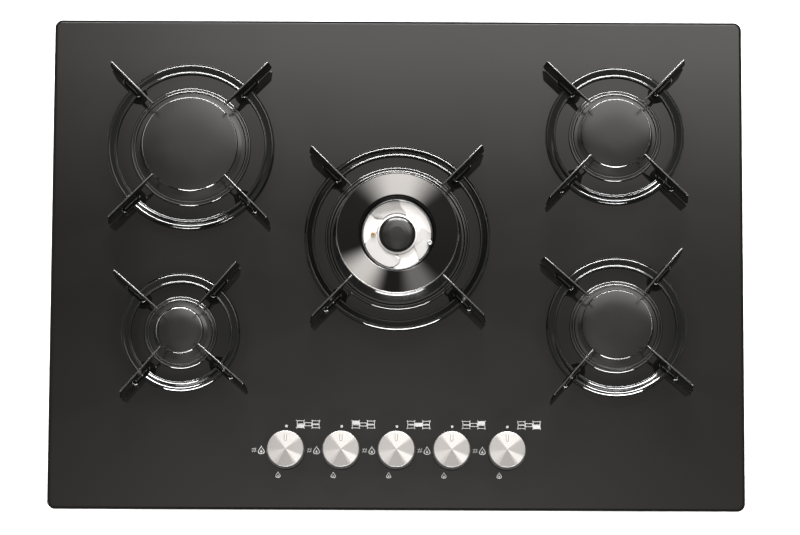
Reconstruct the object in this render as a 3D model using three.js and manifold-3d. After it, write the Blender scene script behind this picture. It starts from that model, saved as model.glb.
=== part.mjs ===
// Five-burner gas cooktop with a toughened glass panel, built as its separate pieces.
// Millimetres, +Z up, +X to the right, +Y to the rear. The origin is the centre of the
// bottom face of the steel tray that hangs under the glass.
import * as THREE from 'three';
import { mergeVertices } from 'three/addons/utils/BufferGeometryUtils.js';
import Module from 'manifold-3d';

const wasm = await Module();
wasm.setup();

// ---------------------------------------------------------------- driving dimensions

const SEAT_GAP = 0.3; // air between a piece and what it sits on
const RUN_GAP = 0.4; // air round a piece that slides or turns
const SLIVER = 0.01; // joins and cuts drop facets thinner than this

const GLASS_WIDTH = 700;
const GLASS_DEPTH = 500;
const GLASS_THICKNESS = 6;
const GLASS_CORNER_RADIUS = 8;
const BEVEL_WIDTH = 2.6; // polished strip round the top edge
const BEVEL_DROP = 1.4;
const ARRIS = 0.8; // small ground edge underneath

const SIDE_OVERHANG = 78; // glass beyond the tray at the left and right
const END_OVERHANG = 18; // glass beyond the tray at the front and rear
const TRAY_WIDTH = GLASS_WIDTH - 2 * SIDE_OVERHANG;
const TRAY_DEPTH = GLASS_DEPTH - 2 * END_OVERHANG;
const TRAY_HEIGHT = 48;
const TRAY_CORNER_RADIUS = 22;
const TRAY_DRAFT = 5; // how far the walls lean in towards the bottom
const SHEET = 1; // sheet thickness of the tray
const FLANGE_WIDTH = 7;
const PEDESTAL_HEIGHT = 13; // pressed-up pads that carry the burner cups

const SEAL_INSET = 2;
const SEAL_WIDTH = 7;
const SEAL_THICKNESS = 2;

const CLAMP_REACH = 24;
const CLAMP_WIDTH = 18;
const CLAMP_THICKNESS = 2;
const CLAMP_HEIGHT = 8; // top of the pressing end above the tray bottom
const CLAMP_JOGGLE = 1.5; // step up from the arm to the pressing end
const CLAMP_END = 6; // length of the pressing end
const CLAMP_ROWS = [-0.3, 0.18]; // places along the sides, as shares of the glass depth

const FIN_THICKNESS = 2;
const FIN_TIP_CLEARANCE = 2; // from the burner cap to the tips of the fins
const FIN_END_LEAN = 3; // the outer ends lean out towards the glass
const FIN_UNDERSIDE = 6; // under the outer part of a fin
const FIN_FOOT_BOTTOM = 4;
const FIN_FOOT_TOP = 15;
const FIN_FOOT_OVERHANG = 12.5; // how far the foot runs out past the ring
const FIN_FOOT_HALF = 4.6; // half of the flared foot's width on the ring
const FIN_FOOT_CREST = 1.9; // half of its width where it meets the plain sheet
const RING_BAND = 10; // radial width of the pressed ring
const RING_HEIGHT = 8;
const PAD_HEIGHT = 1.2; // rubber pads under the ring
const PAD_SIZE = 6;
const TAB_HALF = 10; // half width of the rounded tab under each fin
const TAB_REACH = 11; // from the ring's inner edge towards the burner
const TAB_BOTTOM = 2.6;
const TAB_TOP = 4.4;
const RING_FACETS = 20;

const CROWN_WALL = 6;
const CUP_WALL = 2.2;
const CROWN_TOP = 16.2; // of the four plain burners, above the glass
const CUP_RIM = 6; // of the four plain burners, above the glass
const TRIM_SKIN = 1.2;
const TRIM_BEADS = 4;
const PORT_WIDTH = 1.8;
const PORT_DEPTH = 3.2;
const CROWN_FACETS = 14;
const HIDDEN_FACETS = 9; // for round pieces under the glass
const HOLE_FACETS = 14; // for the holes in the glass
const TRAY_CORNER_STEPS = 3;

const KNOB_PITCH = 55.5;
const KNOB_ROW_Y = -0.38 * GLASS_DEPTH;
const KNOB_RADIUS = 17.9; // of its face
const KNOB_FLARE = 1.5; // the foot is wider than the face by this much all round
const KNOB_TOP = 18; // above the glass
const KNOB_LIFT = 3.6; // air under the knob, pressed through before the gas turns on
const KNOB_FACETS = 16;
const PRESS_TRAVEL = 3;
const SPINDLE_RADIUS = 4;
const SPINDLE_FLAT = 2.6;
const TAP_RADIUS = 9.5;
const TAP_FACETS = 8;
const GAS_LINE_DROP = 30; // axis of the gas rail and pipes below the glass surface
const RAIL_RADIUS = 7;
const RAIL_OFFSET = 18; // rail axis in front of the knob row
const PIPE_RADIUS = 3.5;

const INLET_RADIUS = 10.5; // half-inch gas thread
const INLET_BORE = 7;
const POCKET_SIZE = 60;
const POCKET_HEIGHT = 26;
const CUP_DEPTH = 4; // of a burner cup's bowl below the glass
const RAIL_WALL_GAP = 2; // between the rail and the foot of the tray wall
const INLET_X = TRAY_WIDTH / 2 - 26;
const INLET_Y = TRAY_DEPTH / 2 - 32;

const GENERATOR_WIDTH = 84;
const GENERATOR_DEPTH = 40;
const GENERATOR_X = -80;
const TERMINAL_WIDTH = 54;
const TERMINAL_DEPTH = 30;
const TERMINAL_PITCH = 16;
const CABLE_X = 60; // the mains cable's hole, behind the terminal block

const CERAMIC_RADIUS = 2.6;
const PROBE_RADIUS = 1.7;

const GLASS_UNDERSIDE = TRAY_HEIGHT;
const GLASS_TOP = GLASS_UNDERSIDE + GLASS_THICKNESS;

// Burners, placed from the centre of the glass by shares of its width and depth. The ring
// and reach radii belong to each burner's pan support, and turn is that support's turn.
const placed = (shareX, shareY, burner) => ({
  ...burner,
  x: shareX * GLASS_WIDTH,
  y: shareY * GLASS_DEPTH,
});
const RAPID = { cap: 48.5, trim: 61, ring: 85, reach: 112, ports: 10, facets: 24 };
const SEMI_RAPID = { cap: 35.6, trim: 47, ring: 70.5, reach: 98, ports: 8, facets: 22 };
const AUXILIARY = { cap: 24, trim: 37, ring: 60, reach: 87, ports: 6, facets: 20 };
const PLAIN_BURNERS = [
  placed(-0.3, 0.237, { ...RAPID, name: 'rapid', turn: 0 }),
  placed(0.315, 0.263, { ...SEMI_RAPID, name: 'rear_semi_rapid', turn: 1 }),
  placed(0.3157, -0.128, { ...SEMI_RAPID, name: 'front_semi_rapid', turn: 4 }),
  placed(-0.3114, -0.143, { ...AUXILIARY, name: 'auxiliary', turn: 4 }),
];
const PLAIN_FIN_HEIGHT = 48;

const WOK_RADII = { cap: 62, trim: 73, ring: 94, reach: 121.5 };
const WOK = placed(0, 0.051, { ...WOK_RADII, name: 'wok', turn: 0.6, ports: 12, facets: 28 });
const WOK_FIN_HEIGHT = 57;
const WOK_CUP_RIM = 12;
const WOK_CROWN_TOP = 34.2;
const WOK_CAP_HOLE = 37.5;
const WOK_CENTRE_CAP = 18.4;
const WOK_SWIRL_FLOOR = 26;
const WOK_PETAL_RISE = 1.5;
const WOK_PETAL_OUTER = 34;
const WOK_PETAL_INNER = 20.5; // round the step of the centre seat
const WOK_CENTRE_SEAT = 29;
const WOK_CROWN_FACETS = 20;
const WOK_ELECTRODE_RADIUS = 24;
const WOK_PROBE_RADIUS = 34;
const WOK_PROBE_ANGLE = -15;

const KNOB_ORDER = ['auxiliary', 'rapid', 'wok', 'rear_semi_rapid', 'front_semi_rapid'];

// ---------------------------------------------------------------- finishes

const finish = (color, roughness, metalness) => new THREE.MeshStandardMaterial({ color, roughness, metalness });
const BLACK_GLASS = finish(0x161514, 0.05, 0);
const BLACK_ENAMEL = finish(0x141414, 0.15, 0);
const GALVANISED = finish(0xa8abad, 0.45, 0.9);
const FOAM = finish(0x2b2b2b, 0.9, 0);
const CAST_ALUMINIUM = finish(0xb9babb, 0.5, 0.9);
const BRIGHT_ALUMINIUM = finish(0xe6e4e0, 0.25, 1);
const DARK_SATIN = finish(0x3a3a3a, 0.35, 0.8);
const BRASS = finish(0xb5914a, 0.35, 1);
const STEEL = finish(0x9c9fa1, 0.3, 1);
const CERAMIC = finish(0xf0ece2, 0.4, 0);
const MOULDED_PLASTIC = finish(0x2e3033, 0.55, 0);

// ---------------------------------------------------------------- geometry helpers

// Merges shared corners, drops triangles without area and turns the faces outwards.
function weld(geometry) {
  const bare = geometry.clone();
  bare.deleteAttribute('normal');
  bare.deleteAttribute('uv');
  const merged = mergeVertices(bare, 1e-4);
  const corners = merged.attributes.position;
  const kept = [];
  let volume = 0;
  const a = new THREE.Vector3();
  const b = new THREE.Vector3();
  const c = new THREE.Vector3();
  for (let i = 0; i < merged.index.count; i += 3) {
    const [p, q, r] = [0, 1, 2].map((step) => merged.index.getX(i + step));
    if (p === q || q === r || r === p) continue;
    kept.push(p, q, r);
    a.fromBufferAttribute(corners, p);
    b.fromBufferAttribute(corners, q);
    c.fromBufferAttribute(corners, r);
    volume += a.dot(b.cross(c));
  }
  if (volume < 0) kept.reverse();
  merged.setIndex(kept);
  return merged;
}

function toSolid(geometry) {
  const closed = weld(geometry);
  return new wasm.Manifold(new wasm.Mesh({
    numProp: 3,
    vertProperties: new Float32Array(closed.attributes.position.array),
    triVerts: new Uint32Array(closed.index.array),
  }));
}

function toGeometry(solid) {
  const mesh = solid.simplify(SLIVER).getMesh();
  const geometry = new THREE.BufferGeometry();
  geometry.setAttribute('position', new THREE.BufferAttribute(mesh.vertProperties, 3));
  geometry.setIndex(new THREE.BufferAttribute(mesh.triVerts, 1));
  return geometry;
}

const joined = (solids) => solids.reduce((whole, piece) => whole.add(piece));
const cutBy = (solid, tools) => tools.reduce((rest, tool) => rest.subtract(tool), solid);

// Turns a profile of [radius, height] pairs about the Z axis. A profile that doesn't
// start on the axis is closed back to its first point.
function revolved(profile, facets) {
  const points = profile.map(([radius, height]) => new THREE.Vector2(radius, height));
  if (profile[0][0] > 0) points.push(points[0].clone());
  return new THREE.LatheGeometry(points, facets).rotateX(Math.PI / 2);
}

const turnedSolid = (profile, facets) => toSolid(revolved(profile, facets));

// A round bar or hole cutter between two heights.
function bar(radius, bottom, top, facets = 12, x = 0, y = 0, topRadius = radius) {
  const cylinder = new THREE.CylinderGeometry(topRadius, radius, top - bottom, facets);
  return toSolid(cylinder.rotateX(Math.PI / 2).translate(x, y, (bottom + top) / 2));
}

// A round bar lying along X between two places.
function barAlongX(radius, left, right, y, z, facets = 12) {
  const cylinder = new THREE.CylinderGeometry(radius, radius, right - left, facets);
  return toSolid(cylinder.rotateZ(Math.PI / 2).translate((left + right) / 2, y, z));
}

// A round bar lying along Y between two places.
function barAlongY(radius, front, rear, z, facets = 12, x = 0) {
  const cylinder = new THREE.CylinderGeometry(radius, radius, rear - front, facets);
  return toSolid(cylinder.translate(x, (front + rear) / 2, z));
}

function block(sizeX, sizeY, bottom, top, x = 0, y = 0, turn = 0) {
  const box = new THREE.BoxGeometry(sizeX, sizeY, top - bottom);
  return toSolid(box.translate(x, y, (bottom + top) / 2).rotateZ(turn));
}

function extruded(shape, bottom, top, curveSegments = 6) {
  const options = { depth: top - bottom, bevelEnabled: false, curveSegments };
  return new THREE.ExtrudeGeometry(shape, options).translate(0, 0, bottom);
}

// The corner-rounded outline of a rectangle, with the same number of points at any size.
function roundedOutline(width, depth, radius, steps = 4) {
  const outline = [];
  const corners = [[1, 1, 0], [-1, 1, 90], [-1, -1, 180], [1, -1, 270]];
  for (const [sideX, sideY, start] of corners) {
    for (let step = 0; step <= steps; step += 1) {
      const angle = THREE.MathUtils.degToRad(start + (90 * step) / steps);
      outline.push(new THREE.Vector2(
        sideX * (width / 2 - radius) + radius * Math.cos(angle),
        sideY * (depth / 2 - radius) + radius * Math.sin(angle),
      ));
    }
  }
  return outline;
}

// Skins a stack of outlines that all have the same number of points, bottom first.
function lofted(sections) {
  const positions = [];
  const index = [];
  const count = sections[0].outline.length;
  for (const { outline, z } of sections) {
    for (const point of outline) positions.push(point.x, point.y, z);
  }
  for (let level = 0; level < sections.length - 1; level += 1) {
    for (let i = 0; i < count; i += 1) {
      const low = level * count + i;
      const lowNext = level * count + ((i + 1) % count);
      index.push(low, lowNext, lowNext + count);
      index.push(low, lowNext + count, low + count);
    }
  }
  const last = (sections.length - 1) * count;
  for (const [p, q, r] of THREE.ShapeUtils.triangulateShape(sections[0].outline, [])) {
    index.push(r, q, p);
  }
  for (const [p, q, r] of THREE.ShapeUtils.triangulateShape(sections.at(-1).outline, [])) {
    index.push(last + p, last + q, last + r);
  }
  const geometry = new THREE.BufferGeometry();
  geometry.setAttribute('position', new THREE.Float32BufferAttribute(positions, 3));
  geometry.setIndex(index);
  return geometry;
}

// A solid round tube along a curve.
function tube(radius, path, steps, facets = 6) {
  const section = new THREE.Shape();
  section.absarc(0, 0, radius, 0, Math.PI * 2);
  const options = { steps, extrudePath: path, curveSegments: facets / 2, bevelEnabled: false };
  return new THREE.ExtrudeGeometry(section, options);
}

function piece(name, geometry, material) {
  const mesh = new THREE.Mesh(weld(geometry), material);
  mesh.name = name;
  return mesh;
}

const solidPiece = (name, solid, material) => piece(name, toGeometry(solid), material);

function at(x, y, z, pieces) {
  const group = new THREE.Group();
  group.position.set(x, y, z);
  group.add(...pieces);
  return group;
}

// The largest circle inside a faceted round hole.
const inscribed = (radius, facets) => radius * Math.cos(Math.PI / facets);

const polar = (radius, degrees) => {
  const angle = THREE.MathUtils.degToRad(degrees);
  return [radius * Math.cos(angle), radius * Math.sin(angle)];
};

// ---------------------------------------------------------------- burner proportions

// Radii and heights that several pieces of one plain burner share.
function plainBurnerSizes(burner) {
  const crown = burner.cap - 4;
  const cup = burner.cap - 6;
  return {
    crown,
    crownInner: crown - CROWN_WALL,
    cup,
    cupInner: cup - CUP_WALL,
    neck: Math.max(9, burner.cap * 0.35),
    foot: Math.max(14, burner.cap * 0.6),
    glassHole: cup + 3,
    electrodeAt: polar(cup - 4.4, 200),
    probeAt: polar(cup - 1.9, 60),
  };
}

const WOK_CUP = 54;
const WOK_CROWN = 57;
const WOK_GLASS_HOLE = WOK_CUP + 3;
const WOK_FOOT = 34;
const WOK_NECK = 20;

const allBurners = [...PLAIN_BURNERS, WOK];
const knobX = (order) => (order - (KNOB_ORDER.length - 1) / 2) * KNOB_PITCH;
const pedestalRadius = (foot) => foot + 4;
const footOf = (burner) => (burner === WOK ? WOK_FOOT : plainBurnerSizes(burner).foot);

// ---------------------------------------------------------------- glass, tray and seal

function glassPanel() {
  const outline = (inset) => roundedOutline(
    GLASS_WIDTH - 2 * inset,
    GLASS_DEPTH - 2 * inset,
    GLASS_CORNER_RADIUS - inset,
    3,
  );
  const blank = toSolid(lofted([
    { outline: outline(ARRIS), z: GLASS_UNDERSIDE },
    { outline: outline(0), z: GLASS_UNDERSIDE + ARRIS },
    { outline: outline(0), z: GLASS_TOP - BEVEL_DROP },
    { outline: outline(BEVEL_WIDTH), z: GLASS_TOP },
  ]));
  const through = [GLASS_UNDERSIDE - 1, GLASS_TOP + 1];
  const holes = allBurners.map((burner) => {
    const radius = burner === WOK ? WOK_GLASS_HOLE : plainBurnerSizes(burner).glassHole;
    return bar(radius, ...through, HOLE_FACETS, burner.x, burner.y);
  });
  KNOB_ORDER.forEach((_, order) => {
    holes.push(bar(SPINDLE_RADIUS + 2.5, ...through, 6, knobX(order), KNOB_ROW_Y));
  });
  return solidPiece('glass_top', cutBy(blank, holes), BLACK_GLASS);
}

function traySkin(inset, bottom, top) {
  const draft = (z) => TRAY_DRAFT * (1 - z / TRAY_HEIGHT);
  const outline = (z) => roundedOutline(
    TRAY_WIDTH - 2 * (inset + draft(z)),
    TRAY_DEPTH - 2 * (inset + draft(z)),
    TRAY_CORNER_RADIUS - inset,
    TRAY_CORNER_STEPS,
  );
  return toSolid(lofted([{ outline: outline(bottom), z: bottom }, { outline: outline(top), z: top }]));
}

// A hold-down bracket: an arm from the tray wall with a joggled end that presses upwards.
function clampBracket(side, y) {
  const wall = TRAY_WIDTH / 2 - TRAY_DRAFT;
  const tip = wall + TRAY_DRAFT + CLAMP_REACH;
  const strip = (from, to, top) => block(
    to - from,
    CLAMP_WIDTH,
    top - CLAMP_THICKNESS,
    top,
    (side * (from + to)) / 2,
    y,
  );
  const arm = strip(wall, tip - CLAMP_END + 1, CLAMP_HEIGHT - CLAMP_JOGGLE);
  return arm.add(strip(tip - CLAMP_END, tip, CLAMP_HEIGHT));
}

function bottomTray() {
  const pocketX = TRAY_WIDTH / 2 - POCKET_SIZE / 2;
  const pocketY = TRAY_DEPTH / 2 - POCKET_SIZE / 2;
  const pocket = (grow) => block(
    POCKET_SIZE + 2 * grow,
    POCKET_SIZE + 2 * grow,
    -1,
    POCKET_HEIGHT + grow,
    pocketX,
    pocketY,
  );
  const flange = toSolid(lofted([GLASS_UNDERSIDE - SHEET, GLASS_UNDERSIDE].map((z) => ({
    outline: roundedOutline(
      TRAY_WIDTH + 2 * FLANGE_WIDTH,
      TRAY_DEPTH + 2 * FLANGE_WIDTH,
      TRAY_CORNER_RADIUS + FLANGE_WIDTH,
      TRAY_CORNER_STEPS,
    ),
    z,
  }))));
  const outside = traySkin(0, 0, TRAY_HEIGHT).add(flange).subtract(pocket(0));
  const inside = traySkin(SHEET, SHEET, TRAY_HEIGHT + 1).subtract(pocket(SHEET));
  const pads = allBurners.map((burner) => {
    const radius = pedestalRadius(footOf(burner));
    return bar(radius + 3, 0, PEDESTAL_HEIGHT, HIDDEN_FACETS, burner.x, burner.y, radius);
  });
  const padHollows = allBurners.map((burner) => {
    const radius = pedestalRadius(footOf(burner)) - SHEET;
    return bar(radius + 3, -1, PEDESTAL_HEIGHT - SHEET, HIDDEN_FACETS, burner.x, burner.y, radius);
  });
  const rows = CLAMP_ROWS.map((share) => share * GLASS_DEPTH);
  const clamps = [-1, 1].flatMap((side) => rows.map((y) => clampBracket(side, y)));
  const shell = joined([outside.subtract(inside), ...pads, ...clamps]);
  const gasHole = bar(INLET_BORE + 2.5 + RUN_GAP, POCKET_HEIGHT - 2, POCKET_HEIGHT + 4, 16, INLET_X, INLET_Y);
  const cableHole = barAlongY(6, TRAY_DEPTH / 2 - 12, TRAY_DEPTH / 2 + 12, 22, 12, CABLE_X);
  return solidPiece('bottom_tray', cutBy(shell, [...padHollows, gasHole, cableHole]), GALVANISED);
}

function worktopSeal() {
  const outline = (inset) => roundedOutline(
    GLASS_WIDTH - 2 * inset,
    GLASS_DEPTH - 2 * inset,
    GLASS_CORNER_RADIUS,
    2,
  );
  const strip = (inset, low, high) => toSolid(lofted([
    { outline: outline(inset), z: low },
    { outline: outline(inset), z: high },
  ]));
  const low = GLASS_UNDERSIDE - SEAL_THICKNESS;
  const band = strip(SEAL_INSET, low, GLASS_UNDERSIDE);
  const middle = strip(SEAL_INSET + SEAL_WIDTH, low - 1, GLASS_UNDERSIDE + 1);
  return solidPiece('worktop_seal', band.subtract(middle), FOAM);
}

// ---------------------------------------------------------------- burners

// The trim dish covers the edge of the glass hole: a double bead outside, then a slope
// that rises to the crown.
function trimProfile(outer, inner, rise) {
  return [
    [outer, SEAT_GAP],
    [outer - 1.2, 3.2],
    [outer - 2.4, 1.9],
    [outer - TRIM_BEADS, 2.9],
    [inner, rise],
    [inner, rise - TRIM_SKIN],
    [outer - TRIM_BEADS, 2.9 - TRIM_SKIN],
  ];
}

function injectorCup(name, sizes, rim, pipe) {
  const floor = PEDESTAL_HEIGHT + SEAT_GAP - GLASS_TOP;
  const { cup, cupInner, neck, foot } = sizes;
  const bowlFloor = -GLASS_THICKNESS - CUP_DEPTH;
  const body = turnedSolid([
    [2.5, floor],
    [foot, floor],
    [neck, floor + 4],
    [neck, bowlFloor - 6],
    [cup, bowlFloor],
    [cup, rim],
    [cupInner, rim],
    [cupInner, bowlFloor],
    [2.5, bowlFloor - 3],
  ], HIDDEN_FACETS);
  const fitted = [body, pipe];
  if (sizes.probeTop) {
    fitted.push(bar(PROBE_RADIUS, bowlFloor - 8, sizes.probeTop, 8, ...sizes.probeAt));
  }
  const [x, y] = sizes.electrodeAt;
  const slot = bar(CERAMIC_RADIUS + RUN_GAP, bowlFloor - 10, rim + 1, 8, x, y);
  return solidPiece(`${name}_injector_cup`, joined(fitted).subtract(slot), CAST_ALUMINIUM);
}

function sparkElectrode(name, [x, y], top) {
  const bottom = -GLASS_THICKNESS - 16;
  const parts = [
    bar(CERAMIC_RADIUS, bottom, top - 4, 6, x, y),
    bar(0.9, top - 5, top, 5, x, y),
    bar(1.3, bottom - 4, bottom + 1, 4, x, y),
  ];
  return solidPiece(`${name}_spark_electrode`, joined(parts), CERAMIC);
}

function crownPorts(count, outer, wall, top) {
  return Array.from({ length: count }, (_, i) => block(
    wall + 4,
    PORT_WIDTH,
    top - PORT_DEPTH,
    top + 1,
    outer - wall / 2,
    0,
    ((i + 0.5) * Math.PI * 2) / count,
  ));
}

function plainCrown(burner, sizes) {
  const { crown, crownInner, cupInner } = sizes;
  const spigot = inscribed(cupInner, HIDDEN_FACETS) - RUN_GAP;
  const body = turnedSolid([
    [spigot - 2.4, 1.5],
    [spigot, 1.5],
    [spigot, CUP_RIM + SEAT_GAP],
    [crown, CUP_RIM + SEAT_GAP],
    [crown, CROWN_TOP],
    [crownInner, CROWN_TOP],
  ], CROWN_FACETS);
  const notch = ([x, y], radius) => bar(radius + RUN_GAP + 0.4, 0, CROWN_TOP + 1, 6, x, y);
  const cuts = [
    ...crownPorts(burner.ports, crown, CROWN_WALL, CROWN_TOP),
    notch(sizes.electrodeAt, CERAMIC_RADIUS),
    notch(sizes.probeAt, PROBE_RADIUS),
  ];
  return solidPiece(`${burner.name}_crown`, cutBy(body, cuts), CAST_ALUMINIUM);
}

function plainCap(burner) {
  const seat = CROWN_TOP + SEAT_GAP;
  const radius = burner.cap;
  return piece(`${burner.name}_cap`, revolved([
    [0, seat],
    [radius - 1, seat],
    [radius, seat + 1],
    [radius, seat + 2.6],
    [radius - 1.4, seat + 4],
    [radius * 0.55, seat + 5.2],
    [0, seat + 5.6],
  ], burner.facets), BLACK_ENAMEL);
}

// A bent pipe from the outlet of a tap to the neck of its burner cup, in the burner's
// own frame.
function supplyPipe(burner, order, neck) {
  const startX = knobX(order) - burner.x;
  const startY = KNOB_ROW_Y + TAP_RADIUS + 6 + SEAT_GAP - burner.y;
  const away = Math.atan2(startY, startX);
  const nearX = Math.cos(away) * (neck + 22);
  const nearY = Math.sin(away) * (neck + 22);
  const z = -GAS_LINE_DROP;
  const points = [
    [startX, startY, z],
    [startX, startY + 10, z],
    [startX * 0.86 + nearX * 0.14, startY * 0.86 + nearY * 0.14 + 8, z],
    [nearX, nearY, z],
    [Math.cos(away) * (neck - 3), Math.sin(away) * (neck - 3), z],
  ];
  const stops = points.map((point) => new THREE.Vector3(...point));
  const path = new THREE.CatmullRomCurve3(stops, false, 'centripetal');
  return toSolid(tube(PIPE_RADIUS, path, 5));
}

function plainBurner(burner) {
  const sizes = plainBurnerSizes(burner);
  sizes.probeTop = CROWN_TOP - 3;
  const order = KNOB_ORDER.indexOf(burner.name);
  const trim = revolved(trimProfile(burner.trim, sizes.cup + 0.6, CUP_RIM - 1), burner.facets);
  return at(burner.x, burner.y, GLASS_TOP, [
    piece(`${burner.name}_trim_ring`, trim, BLACK_ENAMEL),
    injectorCup(burner.name, sizes, CUP_RIM, supplyPipe(burner, order, sizes.neck)),
    sparkElectrode(burner.name, sizes.electrodeAt, CROWN_TOP - 1.5),
    plainCrown(burner, sizes),
    plainCap(burner),
  ]);
}

// The two edges of each raised petal, from the rim inwards: the angle in degrees at evenly
// spaced radii. The edges are S-shaped, and the petals leave curved channels between them.
const WOK_PETALS = [
  { leading: [87, 81, 69, 63], trailing: [142, 142, 138, 132] },
  { leading: [263, 271, 277, 275], trailing: [196, 188, 181, 173] },
  { leading: [363, 369, 375, 367], trailing: [310, 315, 321, 324] },
];

// A raised petal of the swirl crown between its two edges.
function swirlPetal({ leading, trailing }) {
  const edge = (angles) => angles.map((angle, i) => polar(
    WOK_PETAL_OUTER + ((WOK_PETAL_INNER - WOK_PETAL_OUTER) * i) / (angles.length - 1),
    angle,
  ));
  const crest = polar(WOK_PETAL_OUTER, (leading[0] + trailing[0]) / 2);
  const seat = polar(WOK_PETAL_INNER, (leading.at(-1) + trailing.at(-1)) / 2);
  const outline = [...edge(leading).reverse(), crest, ...edge(trailing), seat];
  const shape = new THREE.Shape(outline.map((point) => new THREE.Vector2(...point)));
  return toSolid(extruded(shape, WOK_SWIRL_FLOOR - 1, WOK_SWIRL_FLOOR + WOK_PETAL_RISE));
}

const wokElectrodeAt = polar(WOK_ELECTRODE_RADIUS, 180);
const wokProbeAt = polar(WOK_PROBE_RADIUS, WOK_PROBE_ANGLE);

function wokCrown() {
  const inner = WOK_CROWN - CROWN_WALL;
  const spigot = inscribed(WOK_CUP - CUP_WALL, HIDDEN_FACETS) - RUN_GAP;
  const boss = WOK_CENTRE_CAP - 1;
  const body = turnedSolid([
    [0, WOK_SWIRL_FLOOR - 5],
    [WOK_CAP_HOLE + 4, WOK_SWIRL_FLOOR - 5],
    [spigot, 7],
    [spigot, WOK_CUP_RIM + SEAT_GAP],
    [WOK_CROWN, WOK_CUP_RIM + SEAT_GAP],
    [WOK_CROWN, WOK_CROWN_TOP],
    [inner, WOK_CROWN_TOP],
    [WOK_CAP_HOLE + 3, WOK_CROWN_TOP - PORT_DEPTH],
    [WOK_PETAL_OUTER, WOK_SWIRL_FLOOR],
    [boss, WOK_SWIRL_FLOOR],
    [boss, WOK_CENTRE_SEAT],
    [0, WOK_CENTRE_SEAT],
  ], WOK_CROWN_FACETS);
  const petals = WOK_PETALS.map(swirlPetal);
  const drills = [
    bar(CERAMIC_RADIUS + RUN_GAP, WOK_SWIRL_FLOOR - 8, WOK_SWIRL_FLOOR + 4, 10, ...wokElectrodeAt),
    bar(PROBE_RADIUS + RUN_GAP, WOK_SWIRL_FLOOR - 8, WOK_SWIRL_FLOOR + 4, 10, ...wokProbeAt),
  ];
  const ports = crownPorts(WOK.ports, WOK_CROWN, CROWN_WALL, WOK_CROWN_TOP);
  return solidPiece('wok_crown', cutBy(joined([body, ...petals]), [...ports, ...drills]), BRIGHT_ALUMINIUM);
}

function wokRingCap() {
  const seat = WOK_CROWN_TOP + SEAT_GAP;
  return piece('wok_ring_cap', revolved([
    [WOK_CAP_HOLE, seat],
    [WOK.cap - 1, seat],
    [WOK.cap, seat + 1.2],
    [WOK.cap, seat + 3.2],
    [WOK.cap - 1.2, seat + 4.2],
    [WOK_CAP_HOLE + 1.4, seat + 5],
    [WOK_CAP_HOLE, seat + 4.2],
  ], WOK.facets), DARK_SATIN);
}

function wokCentreCap() {
  const seat = WOK_CENTRE_SEAT + SEAT_GAP;
  return piece('wok_centre_cap', revolved([
    [0, seat],
    [WOK_CENTRE_CAP - 1, seat],
    [WOK_CENTRE_CAP, seat + 1],
    [WOK_CENTRE_CAP - 0.8, seat + 2.6],
    [WOK_CENTRE_CAP * 0.6, seat + 4],
    [0, seat + 4.5],
  ], 20), BLACK_ENAMEL);
}

function wokBurner() {
  const sizes = {
    cup: WOK_CUP,
    cupInner: WOK_CUP - CUP_WALL,
    neck: WOK_NECK,
    foot: WOK_FOOT,
    electrodeAt: wokElectrodeAt,
  };
  const order = KNOB_ORDER.indexOf('wok');
  const probeTop = WOK_SWIRL_FLOOR + 6;
  const probe = joined([
    bar(PROBE_RADIUS, -4, probeTop, 10, ...wokProbeAt),
    bar(PROBE_RADIUS + 1.2, -GLASS_THICKNESS - CUP_DEPTH - 0.4, -2, 8, ...wokProbeAt),
  ]);
  const cup = injectorCup('wok', sizes, WOK_CUP_RIM, supplyPipe(WOK, order, WOK_NECK));
  const trim = revolved(trimProfile(WOK.trim, WOK_CUP + 0.6, WOK_CUP_RIM - 1), WOK.facets);
  return at(WOK.x, WOK.y, GLASS_TOP, [
    piece('wok_trim_ring', trim, BLACK_ENAMEL),
    cup,
    sparkElectrode('wok', wokElectrodeAt, WOK_SWIRL_FLOOR + 7),
    solidPiece('wok_thermocouple', probe, STEEL),
    wokCrown(),
    wokRingCap(),
    wokCentreCap(),
  ]);
}

// ---------------------------------------------------------------- pan supports

// The upright fin of a pan support, seen from its side: a straight top edge, a slender
// arm over the burner, a foot on the ring and an outer end that leans out.
function finShape(tip, reach, ring, height) {
  const heel = ring - RING_BAND - 2;
  const shape = new THREE.Shape();
  shape.moveTo(tip, height);
  shape.lineTo(reach - 1, height);
  shape.lineTo(reach + FIN_END_LEAN, FIN_UNDERSIDE + 5);
  shape.lineTo(reach + FIN_END_LEAN - 3, FIN_UNDERSIDE);
  shape.lineTo(heel, FIN_UNDERSIDE);
  shape.quadraticCurveTo(heel - 2, height * 0.62, tip + 8, height - 8);
  shape.lineTo(tip, height - 5);
  shape.closePath();
  return shape;
}

// The foot of a fin: its sheet flares out on both sides where it is welded to the ring.
function finFoot(ring) {
  const section = (z, inner, outer, half) => ({
    outline: [[inner, -half], [outer, -half], [outer, half], [inner, half]].map((p) => new THREE.Vector2(...p)),
    z,
  });
  const inner = ring - RING_BAND - 1;
  const outer = ring + FIN_FOOT_OVERHANG;
  return lofted([
    section(FIN_FOOT_BOTTOM, inner - 2, outer, FIN_FOOT_HALF),
    section(FIN_FOOT_TOP, inner, outer, FIN_FOOT_CREST),
  ]);
}

// A rounded tab that widens the inner edge of the ring under a fin.
function ringTab(ring) {
  const inner = ring - RING_BAND;
  const root = inner + 3;
  const shoulder = inner - TAB_REACH / 2;
  const shape = new THREE.Shape();
  shape.moveTo(root, -TAB_HALF);
  shape.lineTo(shoulder, -TAB_HALF * 0.7);
  shape.quadraticCurveTo(inner - TAB_REACH, 0, shoulder, TAB_HALF * 0.7);
  shape.lineTo(root, TAB_HALF);
  shape.closePath();
  return extruded(shape, TAB_BOTTOM, TAB_TOP, 2);
}

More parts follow.
